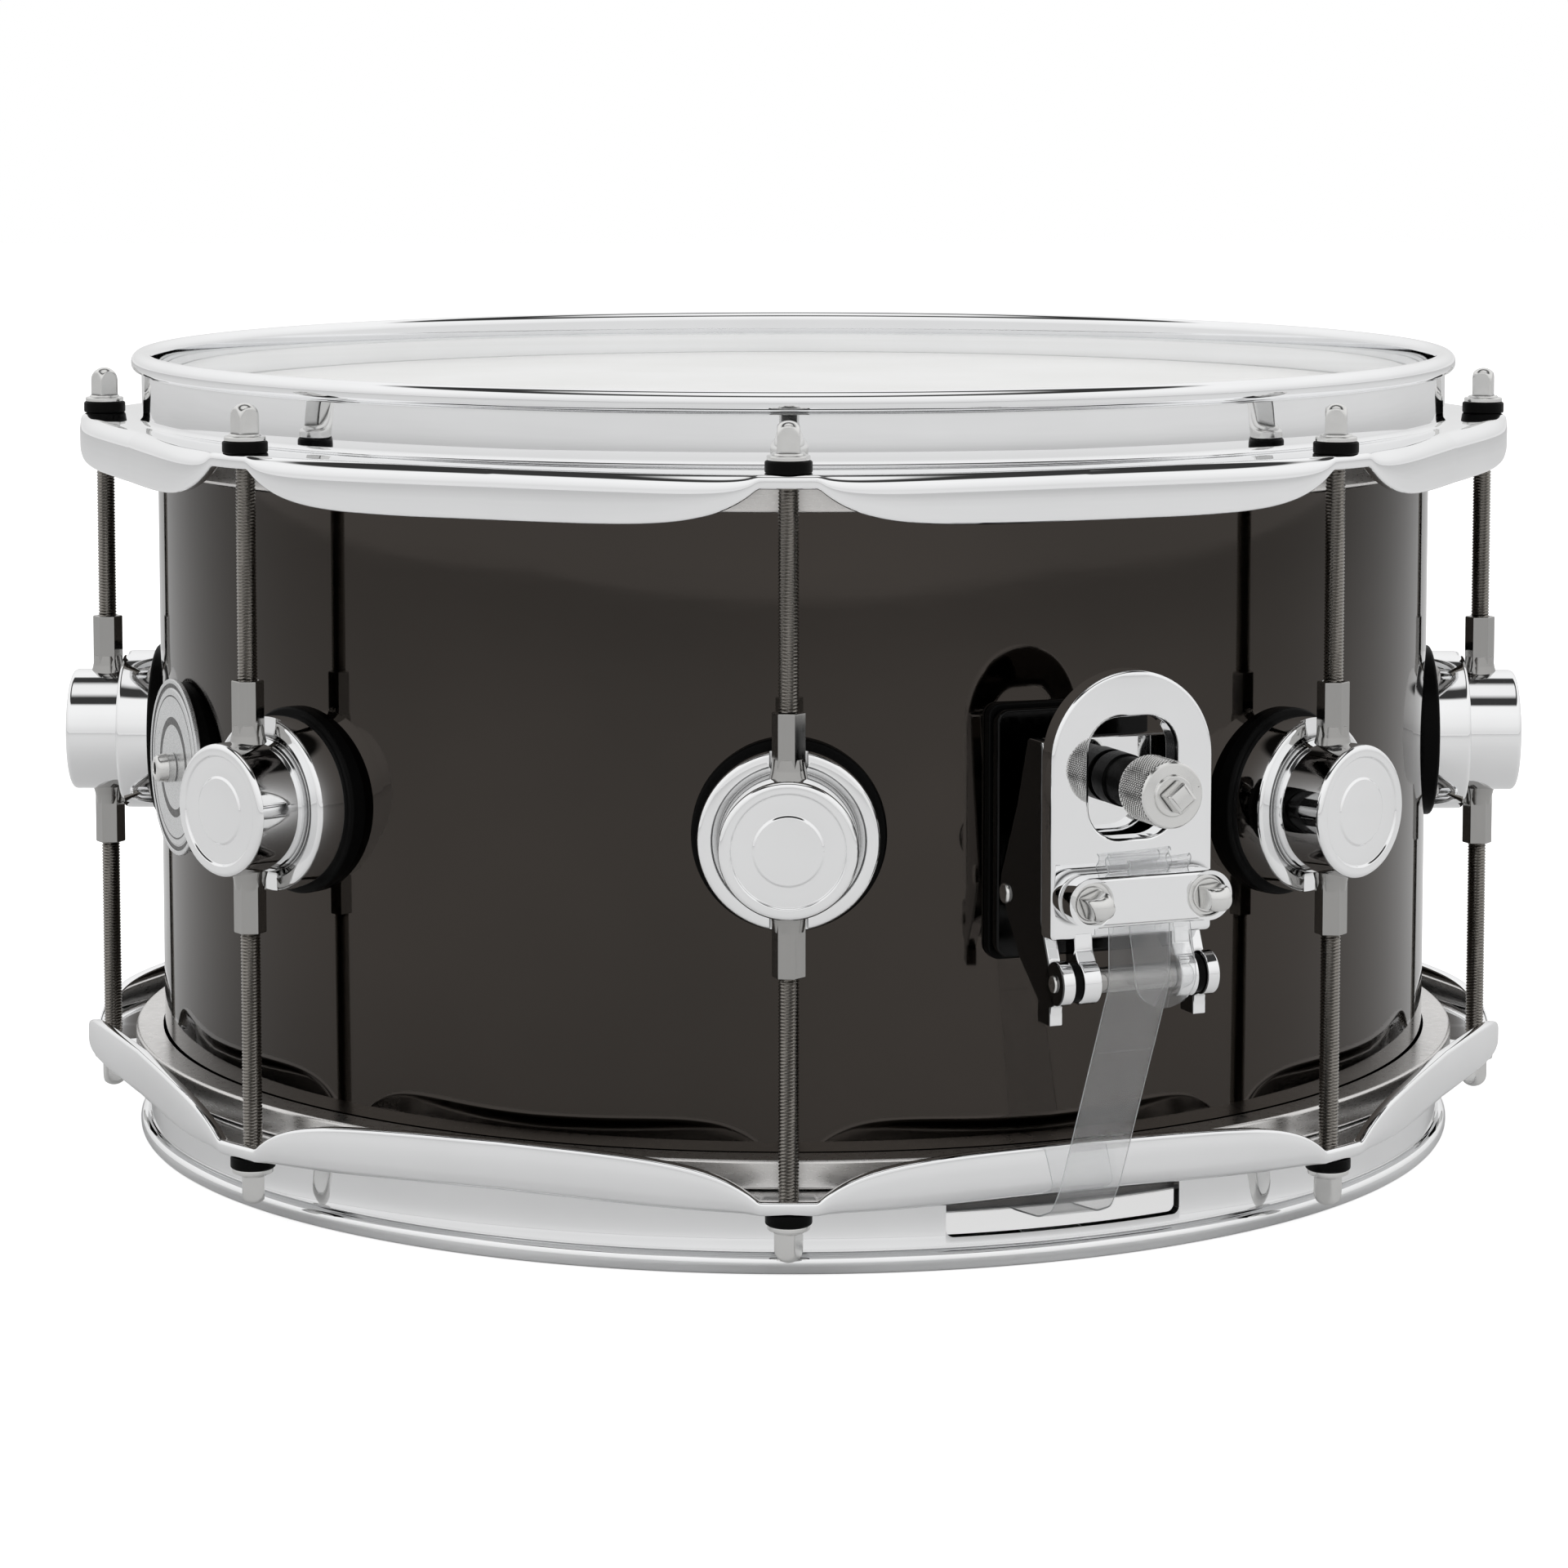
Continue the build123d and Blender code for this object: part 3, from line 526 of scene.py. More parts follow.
def shell_profile():
    """Wall with edges folded inwards at 45 degrees."""
    fold = 8.0
    wall = SHELL_WALL
    top = EDGE_HIGH + 2 ** 1.5
    low = EDGE_LOW - 2 ** 1.5
    step = wall / 2 ** 0.5
    corner = SHELL_RADIUS - wall
    drop = wall * (1 + 2 ** 0.5)
    return rounded([
        (SHELL_RADIUS, low, 2),
        (SHELL_RADIUS, top, 2),
        (SHELL_RADIUS - fold, top - fold, 0.2),
        (SHELL_RADIUS - fold + step, top - fold - step, 0.2),
        (corner, top - drop, 0.8),
        (corner, low + drop, 0.8),
        (SHELL_RADIUS - fold + step, low + fold + step, 0.2),
        (SHELL_RADIUS - fold, low + fold, 0.2),
    ], steps=8)


def make_shell():
    profile = shell_profile()
    shell = lathe(profile, 360)
    add_piece("shell_wall", shell, "drum", BLACK_NICKEL, ["shell"], weighted=False)


def film_profile(film):
    """Head film from its centre to the end gripped in the flesh hoop."""
    top, outer, lip, grip = EDGE_HIGH + film, SHELL_RADIUS + 0.1, 181.0, 168.4
    return rounded([
        (0, top - film),
        (outer, top - film, 1.0),
        (outer, lip, 0.5),
        (grip, lip, 0.3),
        (grip, lip - 4.5),
        (grip + film, lip - 4.5),
        (grip + film, lip + film, 0.4),
        (outer + film, lip + film, 0.4),
        (outer + film, top, 1.2),
        (0, top),
    ])


def make_heads():
    hoop = lathe(disc_profile(165.0, 172.0, EAR_UNDER - 7, EAR_UNDER, 0.9), 240)
    batter = lathe(film_profile(0.25), 360)
    snare = lathe(film_profile(0.12), 360).moved(UPSIDE_DOWN)
    add_piece("batter_head_film", batter, "drum", COATED, ["batter_head"])
    add_piece("snare_head_film", snare, "drum", CLEAR_FILM, ["snare_head"])
    add_piece("batter_flesh_ring", hoop, "drum", ALUMINIUM, ["batter_flesh_hoop"])
    add_piece("snare_flesh_ring", hoop.moved(UPSIDE_DOWN), "drum", ALUMINIUM,
              ["snare_flesh_hoop"])


# ---------------------------------------------------------------- hoops

def arc(centre_x, centre_z, radius, start, end, steps):
    angles = np.radians(np.linspace(start, end, steps + 1))
    return [(centre_x + radius * math.cos(q), centre_z + radius * math.sin(q)) for q in angles]


def hoop_profile(azimuth):
    """Section through the upper hoop at an angle from the nearest ear."""
    past_ear = max(abs(azimuth) - EAR_HALF_ANGLE, 0)
    depth = EAR_LIP + SKIRT_DEPTH * (1 - math.exp(-past_ear / ARCH_SPREAD))
    reach = SKIRT_RADIUS + (EAR_RADIUS - SKIRT_RADIUS) * math.exp(-(abs(azimuth) / 13.5) ** 2.3)
    bend = 0.7 + 3.4 * (1 - math.exp(-depth / 3))
    low = EAR_UNDER - depth
    edge = min(0.6, depth / 2)
    inner_bend = min(1.6, depth / 2)
    bead = 2.4
    inside = reach - HOOP_SHEET
    points = arc(HOOP_INNER + bead, HEIGHT - bead, bead, 180, 90, 7)
    points += arc(BEAD_RADIUS - bead, HEIGHT - bead, bead, 90, 0, 7)
    points += arc(BEAD_RADIUS - 1.9, HEIGHT - BEAD_HEIGHT + 1.9, 1.9, 0, -90, 5)
    points += arc(HOOP_WALL + 0.5, HEIGHT - BEAD_HEIGHT - 0.5, 0.5, 90, 180, 2)
    points += arc(HOOP_WALL + 1.6, EAR_TOP + 1.6, 1.6, 180, 270, 5)
    points += arc(reach - bend, EAR_TOP - bend, bend, 90, 0, 7)
    points += arc(reach - 0.8, low + 0.8, 0.8, 0, -90, 3)
    points += arc(inside + edge, low + edge, edge, -90, -180, 2)
    points += arc(inside - inner_bend, EAR_UNDER - inner_bend, inner_bend, 0, 90, 4)
    points += arc(HOOP_INNER + 3.4, EAR_UNDER + 3.4, 3.4, -90, -180, 6)
    return points


def hoop_shape():
    rows = []
    steps = 1440
    for i in range(steps):
        angle = 360 * i / steps
        from_ear = (angle + 22.5) % 45 - 22.5
        q = math.radians(angle - 90)
        rows.append([polar(r, q, z) for r, z in hoop_profile(from_ear)])
    return grid(rows)


def make_hoops():
    hoop = hoop_shape()
    add_piece("batter_hoop_flanged", hoop, "drum", CHROME, ["batter_hoop"],
              weighted=False, merge=False, sharp=50)
    lower = add_piece("snare_hoop_flanged", hoop.moved(UPSIDE_DOWN), "drum", CHROME,
                      ["snare_hoop"], weighted=False, merge=False, sharp=50)
    gate = rounded([(-29.8, 7.4), (29.8, 7.4), (29.8, 17.3), (-29.8, 17.3)], 1.8, 8)
    window = facing(gate, [], 160, 174, 0.01, 1)
    cut(lower, [window.moved(at(STRAINER)), window.moved(at(BUTT))])


# ---------------------------------------------------------------- rods and washers

def key_head(base):
    """Round collar and a domed round bar milled square for the drum key."""
    square, stock, height, dome = 2.55, 3.5, 8.7, 3.4
    around = 72
    collar = lathe(rounded([
        (0, base - 0.2), (4.9, base - 0.2, 0.25), (4.9, base + 0.95, 0.3), (3.9, base + 1.05),
        (3.7, base + 1.5, 0.2), (0, base + 1.5),
    ]), 64)
    levels = list(np.linspace(base + 0.8, base + height - dome, 6))
    levels += [base + height - dome + dome * math.sin(q) for q in np.linspace(0.1, math.pi / 2, 16)]
    rows = []
    for z in levels:
        rise = max(z - (base + height - dome), 0) / dome
        limit = stock * math.sqrt(max(1 - rise ** 2, 0.0004))
        row = []
        for k in range(around):
            q = 2 * math.pi * k / around
            flat = square / max(abs(math.cos(q)), abs(math.sin(q)))
            row.append(polar(min(limit, flat), q, z))
        rows.append(row)
    return collar + capped(rows)


def threaded_rod(low, high, radius, pitch, plain):
    """Rod with a helical thread from `low` to `high` less a plain length under the head."""
    per_turn, around = 6, 28
    depth = 0.32
    point = 2
    taper = 0.5
    count = int((high - plain - low) / pitch * per_turn)
    rows = []
    for i in range(count + 1):
        z = low + (high - plain - low) * i / count
        row = []
        for k in range(around):
            phase = (z / pitch - k / around) % 1
            fade = min((z - low) / point, 1)
            r = radius - depth * (1 - abs(2 * phase - 1)) * fade - taper * (1 - fade)
            row.append(polar(r, 2 * math.pi * k / around, z))
        rows.append(row)
    core = radius - 0.28
    for z in (high - plain + 0.05, high):
        rows.append([polar(core, 2 * math.pi * k / around, z) for k in range(around)])
    return capped(rows)


def set_faces(piece, material, test):
    """Give the faces whose centre passes the test a second material."""
    piece.data.materials.append(material)
    index = len(piece.data.materials) - 1
    for face in piece.data.polygons:
        if test(face.center):
            face.material_index = index


def make_rods():
    base = EAR_TOP + 2.8
    rod = threaded_rod(106, base, 2.4, 0.79, 4.2) + key_head(base + 0.2)
    flip = shift(0, 0, HEIGHT) @ turn(180, "X")
    for i, azimuth in enumerate(LUG_AZIMUTHS):
        spot = at(azimuth) @ shift(ROD_CIRCLE, 0, 0)
        for side, own_turn, matrix in (("batter", 37 * i, Matrix()), ("snare", 24.5 + 53 * i, flip)):
            name = f"{side}_rod_{i + 1}"
            shape = rod.moved(spot @ matrix @ turn(own_turn))
            piece = add_piece(f"{name}_threaded", shape, name, ROD_STEEL, [name],
                              weighted=False, sharp=32)
            limit = (base - 1.5) * MM
            if side == "batter":
                set_faces(piece, NICKEL, lambda c: c.z > limit)
            else:
                set_faces(piece, NICKEL, lambda c: c.z < HEIGHT * MM - limit)


def make_rod_washers():
    profile = disc_profile(2.5, 5.35, EAR_TOP, EAR_TOP + 2.8, 0.45)
    washer = lathe(profile, 64).moved(shift(ROD_CIRCLE, 0, 0))
    upper = joined([washer.moved(at(a)) for a in LUG_AZIMUTHS])
    lower = upper.moved(UPSIDE_DOWN)
    add_piece("batter_washer_set", upper, "drum", NYLON, ["batter_washers"])
    add_piece("snare_washer_set", lower, "drum", NYLON, ["snare_washers"])


# ---------------------------------------------------------------- lugs

def lug_profile():
    """Base, raised ring and turret with a stepped face."""
    return rounded([
        (0, 167.0),
        (20.65, 167.0, 0.2),
        (20.65, 175.3, 1.1),
        (17.6, 175.5, 0.25),
        (17.2, 174.7, 0.2),
        (15.7, 174.5, 0.3),
        (15.7, 189.1, 1.7),
        (13.1, 189.1, 0.4),
        (12.7, 188.6, 0.3),
        (8.1, 188.6, 0.4),
        (7.6, 189.0, 0.4),
        (0, 189.0),
    ], steps=6)


def hexagon(flats, own_turn):
    reach = flats / 2 / math.cos(math.pi / 6)
    angles = [math.radians(own_turn + 60 * k) for k in range(6)]
    return [(reach * math.cos(q), reach * math.sin(q)) for q in angles]


def lug_slots():
    """Cutters that open the raised ring above and below for the tube."""
    slots = []
    for side in (-1, 1):
        low, high = sorted((side * 16.1, side * 25))
        outline = rounded([(-4.4, low), (4.4, low), (4.4, high), (-4.4, high)], 1.2)
        slots.append(facing(outline, [], 173.6, 200, 0.01, 1).moved(shift(0, 0, MID)))
    return slots


def lug_tube(own_turn):
    """Hexagonal receiver tube with a turned foot at each end."""
    half_length, bore = 30, 2.45
    tube = slab(hexagon(6.6, own_turn), [circle(0, 0, bore, 32)], MID - half_length, MID + half_length,
                0.35, 3)
    foot = lathe(rounded([(2.6, 14), (4.7, 14), (3.9, 17, 2), (3.5, 19.5), (2.6, 19.5)]), 48)
    upper = foot.moved(shift(0, 0, MID))
    lower = foot.moved(shift(0, 0, MID) @ turn(180, "X"))
    return joined([tube, upper, lower])


def make_lugs():
    slots = lug_slots()
    tubes, gaskets = [], []
    gasket = radial(rounded([(0, 163.2), (22.25, 162.4), (22.25, 167.0, 0.8), (0, 167.0)]), MID, steps=96)
    for i, azimuth in enumerate(LUG_AZIMUTHS):
        name = f"lug_{i + 1}_body"
        body = radial(lug_profile(), MID, steps=128).moved(at(azimuth))
        piece = add_piece(name, body, "drum", CAST_CHROME,
                          ["lug_bodies"] if i == 0 else [], weighted=False, sharp=40)
        cut(piece, [slot.moved(at(azimuth)) for slot in slots])
        tubes.append(lug_tube(22 + 17 * i).moved(at(azimuth) @ shift(ROD_CIRCLE, 0, 0)))
        gaskets.append(gasket.moved(at(azimuth)))
    add_piece("lug_tube_set", joined(tubes), "drum", SATIN_NICKEL, ["lug_tubes"])
    add_piece("lug_gasket_set", joined(gaskets), "drum", RUBBER, ["lug_gaskets"])


# ---------------------------------------------------------------- badge

def make_badge():
    place = at(BADGE)
    pad = radial(rounded([(0, 163), (21.0, 162.6), (21.0, 166.2, 0.3), (0, 166.2)]), MID, steps=96)
    disc = radial(rounded([
        (3.0, 166.2), (22.0, 166.2, 0.3), (22.0, 167.5, 0.4), (21.0, 167.6, 0.2), (20.7, 167.3, 0.2),
        (19.6, 167.3, 0.2), (19.3, 167.55, 0.2), (3.0, 167.55),
    ]), MID, steps=128)
    stud = radial(rounded([
        (1.5, 160), (3.0, 160), (3.0, 167.6), (3.7, 167.6, 0.4), (3.7, 169.6, 0.8), (3.1, 172.2, 1.2),
        (1.5, 172.6, 0.4),
    ]), MID, steps=64)
    add_piece("badge_pad_round", pad.moved(place), "drum", RUBBER, ["badge_pad"])
    add_piece("badge_disc", disc.moved(place), "drum", badge_material(), ["badge"])
    add_piece("vent_stud_turned", stud.moved(place), "drum", NICKEL, ["vent_stud"])


def badge_material():
    """Satin plate with printed plain rings."""
    material, nodes, links, principled = new_material("badge_plate")
    principled.inputs["Metallic"].default_value = 0.85
    coordinates = nodes.new("ShaderNodeTexCoord")
    centre = at(BADGE) @ Vector((167 * MM, 0, MID * MM))
    offset = nodes.new("ShaderNodeVectorMath")
    offset.operation = "DISTANCE"
    offset.inputs[1].default_value = centre
    links.new(coordinates.outputs["Object"], offset.inputs[0])
    scale = nodes.new("ShaderNodeMath")
    scale.operation = "MULTIPLY"
    scale.inputs[1].default_value = 1 / (25 * MM)
    links.new(offset.outputs["Value"], scale.inputs[0])
    plate, print_colour = (0.66, 0.665, 0.67), (0.05, 0.05, 0.05)
    bands = [(0.0, plate), (0.42, print_colour), (0.50, plate), (0.70, print_colour), (0.716, plate),
             (0.786, print_colour), (0.83, plate)]
    colours = ramp(nodes, links, scale.outputs["Value"], bands)
    colours.node.color_ramp.interpolation = "CONSTANT"
    links.new(colours, principled.inputs["Base Color"])
    fine = noise(nodes, links, 900, 4)
    links.new(ramp(nodes, links, fine, [(0.3, 0.22), (0.7, 0.34)]), principled.inputs["Roughness"])
    return material


# ---------------------------------------------------------------- throw-off

def stadium(half_width, half_height, centre):
    """Outline with round ends lying along the shell."""
    return rounded([
        (-half_width, centre - half_height), (half_width, centre - half_height),
        (half_width, centre + half_height), (-half_width, centre + half_height),
    ], half_height * 0.999, 14)


def clamp_shape(start, height):
    """Clamp bar with cupped seats for its two screws."""
    end = start + CLAMP_THICKNESS
    holes = [circle(side * CLAMP_SCREW_SIDE, height, 4.7, 40) for side in (-1, 1)]
    bar = facing(stadium(19.6, 5.65, height), holes, start, end, 0.9, 4)
    cup = rounded([(2.1, start + 0.3), (4.8, start + 0.3), (4.8, end - 0.9), (4.2, end - 1.6, 0.4),
                   (2.1, end - 1.9)])
    cups = [radial(cup, height, side * CLAMP_SCREW_SIDE) for side in (-1, 1)]
    return joined([bar] + cups)


def make_clamp_screws(place, start, height, names):
    """Key-headed screws through the ends of a clamp bar."""
    seat = start + CLAMP_THICKNESS - 1.7
    shank = lathe([(0, -9), (2.0, -9), (2.0, 0.5), (0, 0.5)], 32)
    for name, body, side, own_turn in names:
        spot = shift(seat, side * CLAMP_SCREW_SIDE, height) @ OUTWARD @ turn(own_turn)
        shape = (key_head(0) + shank).moved(spot)
        add_piece(f"{name}_turned", shape.moved(place), body, NICKEL, [name],
                  weighted=False, sharp=32)


def lever_shape():
    """Arched plate with a window, strap seat and hinge knuckles."""
    half = LEVER_HALF_WIDTH
    arch, foot = 121.1, 81.3
    lower = rounded([(half, arch), (-half, arch), (-half, foot, 1.2), (half, foot, 1.2)], 0)
    crown = [(half * math.cos(q), arch + half * math.sin(q)) for q in np.linspace(0, math.pi, 49)]
    outline = crown + [p for p in lower if p[1] < arch - 1]
    window = rounded([(-10.7, 103.4), (10.7, 103.4), (10.7, 130.6), (-10.7, 130.6)], 7.5, 10)
    plate = facing(outline, [window], 194, 200, 0.9, 4)
    seat = facing(stadium(19.6, 5.65, CLAMP_HEIGHT), [], 199.5, 203.2, 0.4)
    parts = [plate, seat]
    for side in (-1, 1):
        low, high = sorted((side * 9.8, side * 14.2))
        arm = rounded([(195.2, 83), (195.6, 72), (201, 67.2), (205.4, 72), (200.4, 79), (200, 83)], 0.6)
        parts.append(sideways(arm, [circle(*HINGE, 3.5)], low + 0.01, high - 0.01, 0.3))
        parts.append(crosswise(disc_profile(2.05, 5.0, low, high, 0.5), HINGE))
    return joined(parts)


def rocker_shape():
    """Frame of two side plates joined by a web."""
    outline = rounded([
        (186.0, 125.0, 1.2), (193.7, 125.0, 1.2), (193.7, 84.7, 3), (197.6, 76.0, 2), (201.0, 67.2, 1),
        (198.6, 66.3, 0.4), (198.0, 62.0, 0.4), (181.6, 75.0, 3), (171.9, 88.3, 3), (171.9, 91.6, 3),
        (180.8, 110.0, 3),
    ])
    parts = [
        facing(rounded([(-16.3, 96), (16.3, 96), (16.3, 125), (-16.3, 125)], 0.5),
               [circle(0, KNOB_HEIGHT, 3.6)], 186.5, 190.0, 0.4),
    ]
    for side in (-1, 1):
        low, high = sorted((side * 16.2, side * 19.4))
        parts.append(sideways(outline, [], low, high, 0.5))
        parts.append(crosswise(disc_profile(2.0, 5.0, low, high, 0.5), HINGE))
        foot = rounded([(192, 62), (198.3, 62), (198.3, 66.4), (192, 66.4)], 0.3)
        parts.append(sideways(foot, [], low - 0.02, high + 0.02, 0.3))
    return joined(parts)


def base_shape():
    """Fixed plate, pivot ears and nut block."""
    plate = facing(rounded([(-19, 72), (19, 72), (19, 129), (-19, 129)], 3), [], 166, 169.5, 0.6)
    nut_block = facing(rounded([(-9, 108.8), (9, 108.8), (9, 120.8), (-9, 120.8)], 1),
                       [circle(0, KNOB_HEIGHT, 3.2)], 169, 177.6, 0.5)
    parts = [plate, nut_block]
    ear = rounded([(169, 83.1), (180, 83.1, 4.9), (180, 93.1, 4.9), (169, 93.1)])
    for side in (-1, 1):
        low, high = sorted((side * 12.2, side * 15.7))
        parts.append(sideways(ear, [circle(*PIVOT, 2.55)], low, high, 0.4))
    return joined(parts)


def knurled(radius, low, high, teeth, depth):
    """Cylinder with crossed diamond knurling, plain rims and closed ends."""
    per_tooth = 6
    around = teeth * per_tooth
    pitch = 2 * math.pi * radius / teeth
    centre = 0.001
    land = 0.35
    levels = [(low, centre), (low, radius - 0.7), (low + 0.5, radius - 0.15)]
    levels += [(z, None) for z in np.arange(low + 0.9, high - 0.9, 0.16)]
    levels += [(high - 0.5, radius - 0.1), (high - 0.1, radius - 0.45), (high, radius - 0.9)]
    levels.append((high, centre))
    rows = []
    for z, plain in levels:
        row = []
        for k in range(around):
            r = plain
            if plain is None:
                u = k / per_tooth + z / pitch
                v = k / per_tooth - z / pitch
                groove = max(abs(u % 1 - 0.5), abs(v % 1 - 0.5)) * 2
                r = radius - depth * max(groove - land, 0) / (1 - land)
            row.append(polar(r, 2 * math.pi * k / around, z))
        rows.append(row)
    return grid(rows, closed_rows=False).moved(shift(0, 0, KNOB_HEIGHT) @ OUTWARD)


def make_knob(place):
    grip = knurled(7.5, 207.2, 219.5, 48, 0.6)
    front = radial(rounded([
        (0, 219.0), (6.5, 219.2), (6.3, 219.5, 0.1), (4.7, 219.6, 0.2), (4.4, 220.3, 0.3), (0, 220.3),
    ]), KNOB_HEIGHT)
    half = 2.6
    low, high = KNOB_HEIGHT - half, KNOB_HEIGHT + half
    square = rounded([(-half, low), (half, low), (half, high), (-half, high)], 0.5)
    key = facing(square, [], 219.8, 224.5, 0.8)
    key = key.moved(shift(0, 0, KNOB_HEIGHT) @ turn(38, "X") @ shift(0, 0, -KNOB_HEIGHT))
    add_piece("knob_grip", joined([grip, front, key]).moved(place), "knob", NICKEL,
              ["strainer_knob"], weighted=False, sharp=28)
    neck = radial(rounded([
        (0, 169.7), (2.5, 169.7, 0.4), (2.5, 191), (6.0, 191, 0.3), (6.0, 196.5, 0.3), (5.6, 197, 0.2),
        (5.6, 207.5), (0, 207.5),
    ]), KNOB_HEIGHT)
    add_piece("knob_neck", neck.moved(place), "knob", NYLON)


def ribbon(path, round_end=0.0):
    """Strap along a (radius, height) path, rounded where it starts if asked."""
    path = np.array(path, float)
    spacing = 0.6
    steps = [0.0]
    for a, b in zip(path, path[1:]):
        steps.append(steps[-1] + float(np.linalg.norm(b - a)))
    lengths = np.arange(0, steps[-1], spacing)
    lengths = np.append(lengths, steps[-1])
    fine = np.stack([np.interp(lengths, steps, path[:, k]) for k in (0, 1)], 1)
    for _ in range(6):
        fine[1:-1] = (fine[:-2] + 2 * fine[1:-1] + fine[2:]) / 4
    tangents = np.gradient(fine, axis=0)
    tangents /= np.linalg.norm(tangents, axis=1, keepdims=True)
    normals = np.stack([tangents[:, 1], -tangents[:, 0]], 1)
    across = np.linspace(-1, 1, 9)
    rows = []
    for point, normal, length in zip(fine, normals, lengths):
        width = STRAP_HALF_WIDTH
        if round_end and length < round_end:
            width = STRAP_HALF_WIDTH * math.sqrt(max(1 - (1 - length / round_end) ** 2, 0.01))
        face = point + normal * STRAP_THICKNESS / 2
        back = point - normal * STRAP_THICKNESS / 2
        row = [(face[0], side * width, face[1]) for side in across]
        row += [(back[0], side * width, back[1]) for side in across[::-1]]
        rows.append(row)
    return capped(rows)


def side_finish_and_painted_reflection(piece, material, across):
    """Give the faces that look along `across`, either way, a second material: strap edges, and painted
    dark reflection on the rocker's sides.
    """
    piece.data.materials.append(material)
    for face in piece.data.polygons:
        if abs(face.normal.dot(across)) > 0.7:
            face.material_index = 1


def make_straps(place):
    """Strap in three lengths: through the clamp, its free end, and down to the wires."""
    seat = 203.4
    around_sleeve = arc(*HINGE, SLEEVE_RADIUS + 0.25, 0, -25, 4)
    upper = ribbon(
        [(202.6, 99.9), (201.5, 99.9), (201.1, 98.8), (201.7, 97.9), (seat, 97.2), (seat, 90)]
        + around_sleeve + [(195.9, 54.4)]
    )
    tail = ribbon([
        (206.0, 65.8), (206.0, 74), (205.3, 77.5), (203.9, 84.0), (203.8, 97.2), (205.4, 97.8),
        (206.1, 98.8), (205.6, 99.9), (204.5, 99.9), (204.1, 98.9),
    ], round_end=7.0)
    slant = shift(0, TAIL_SHIFT, CLAMP_HEIGHT) @ turn(TAIL_SLANT, "X") @ shift(0, 0, -CLAMP_HEIGHT)
    tail = tail.moved(slant)
    lower = ribbon([
        (195.9, 54.5), (179.4, 19.6), (175.0, 13.4), (168, 10.7), (155, 9.35), (130, 9.2),
    ])
    bend = add_piece("strap_upper", upper.moved(place), None, CLEAR_STRAP,
                     ["strainer_strap"], weighted=False)
    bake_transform(bend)
    end = add_piece("strap_tail", tail.moved(place), "lever", CLEAR_STRAP,
                    weighted=False)
    low = add_piece("strap_lower", lower.moved(place), None, CLEAR_STRAP,
                    weighted=False)
    for piece in (bend, end, low):
        side_finish_and_painted_reflection(piece, STRAP_EDGE, place @ Vector((0, 1, 0)))
    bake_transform(low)


def make_throwoff_base(place):
    outline = rounded([(-19.6, 71), (19.6, 71), (19.6, 130), (-19.6, 130)], 3)
    gasket = facing(outline, [], 163.4, 166, 0.4)
    add_piece("throwoff_gasket", gasket.moved(place), "drum", RUBBER,
              ["strainer_gasket"])
    # The throw-off base is dark metal all over.
    add_piece("throwoff_base", base_shape().moved(place), "drum", DARK_BASE_METAL,
              ["strainer_base"])


def make_throwoff_frame(place):
    """Frame with its pivot, the lever's hinge pin and what sits on the pin."""
    rocker = add_piece("throwoff_rocker", rocker_shape().moved(place), "rocker", CAST_CHROME,
                       ["strainer_rocker"])
    # Painted reflection: the chrome rocker's side faces get dark metal for the dark shell they reflect.
    side_finish_and_painted_reflection(rocker, ROCKER_SIDE_PAINTED_REFLECTION, place @ Vector((0, 1, 0)))
    pin = crosswise(rounded([(0, -20), (2, -20, 0.4), (2, 20, 0.4), (0, 20)]), HINGE)
    add_piece("throwoff_hinge_bar", pin.moved(place), "rocker", NICKEL,
              ["strainer_hinge_pin"])
    sleeve = crosswise(disc_profile(2.0, SLEEVE_RADIUS, -9.7, 9.7, 0.3), HINGE)
    add_piece("throwoff_hinge_tube", sleeve.moved(place), "rocker", SATIN_NICKEL,
              ["strainer_hinge_sleeve"])
    pivot = crosswise(rounded([(0, -20.2), (2.4, -20.2, 0.7), (2.4, 20.2, 0.7), (0, 20.2)]), PIVOT)
    add_piece("throwoff_pivot_rivet", pivot.moved(place), "rocker", NICKEL,
              ["strainer_pivot_pin"])
    washers = []
    for side in (-1, 1):
        low, high = sorted((side * 14.2, side * 16.2))
        washers.append(crosswise(disc_profile(2.0, 4.4, low, high, 0.3), HINGE))
    add_piece("throwoff_hinge_washers", joined(washers).moved(place), "rocker", NYLON,
              ["strainer_hinge_washers"])


def make_throwoff_lever(place):
    add_piece("throwoff_lever", lever_shape().moved(place), "lever", CHROME,
              ["strainer_lever"])
    clamp = clamp_shape(CLAMP_START, CLAMP_HEIGHT)
    add_piece("throwoff_clamp", clamp.moved(place), "lever", CHROME, ["strainer_clamp"])
    make_clamp_screws(place, CLAMP_START, CLAMP_HEIGHT, [
        ("strainer_clamp_screw_left", "lever_screw_left", -1, 20),
        ("strainer_clamp_screw_right", "lever_screw_right", 1, 5),
    ])


def make_strainer():
    place = at(STRAINER)
    make_throwoff_base(place)
    make_throwoff_frame(place)
    make_throwoff_lever(place)
    make_knob(place)
    make_straps(place)


# ---------------------------------------------------------------- butt plate and wires

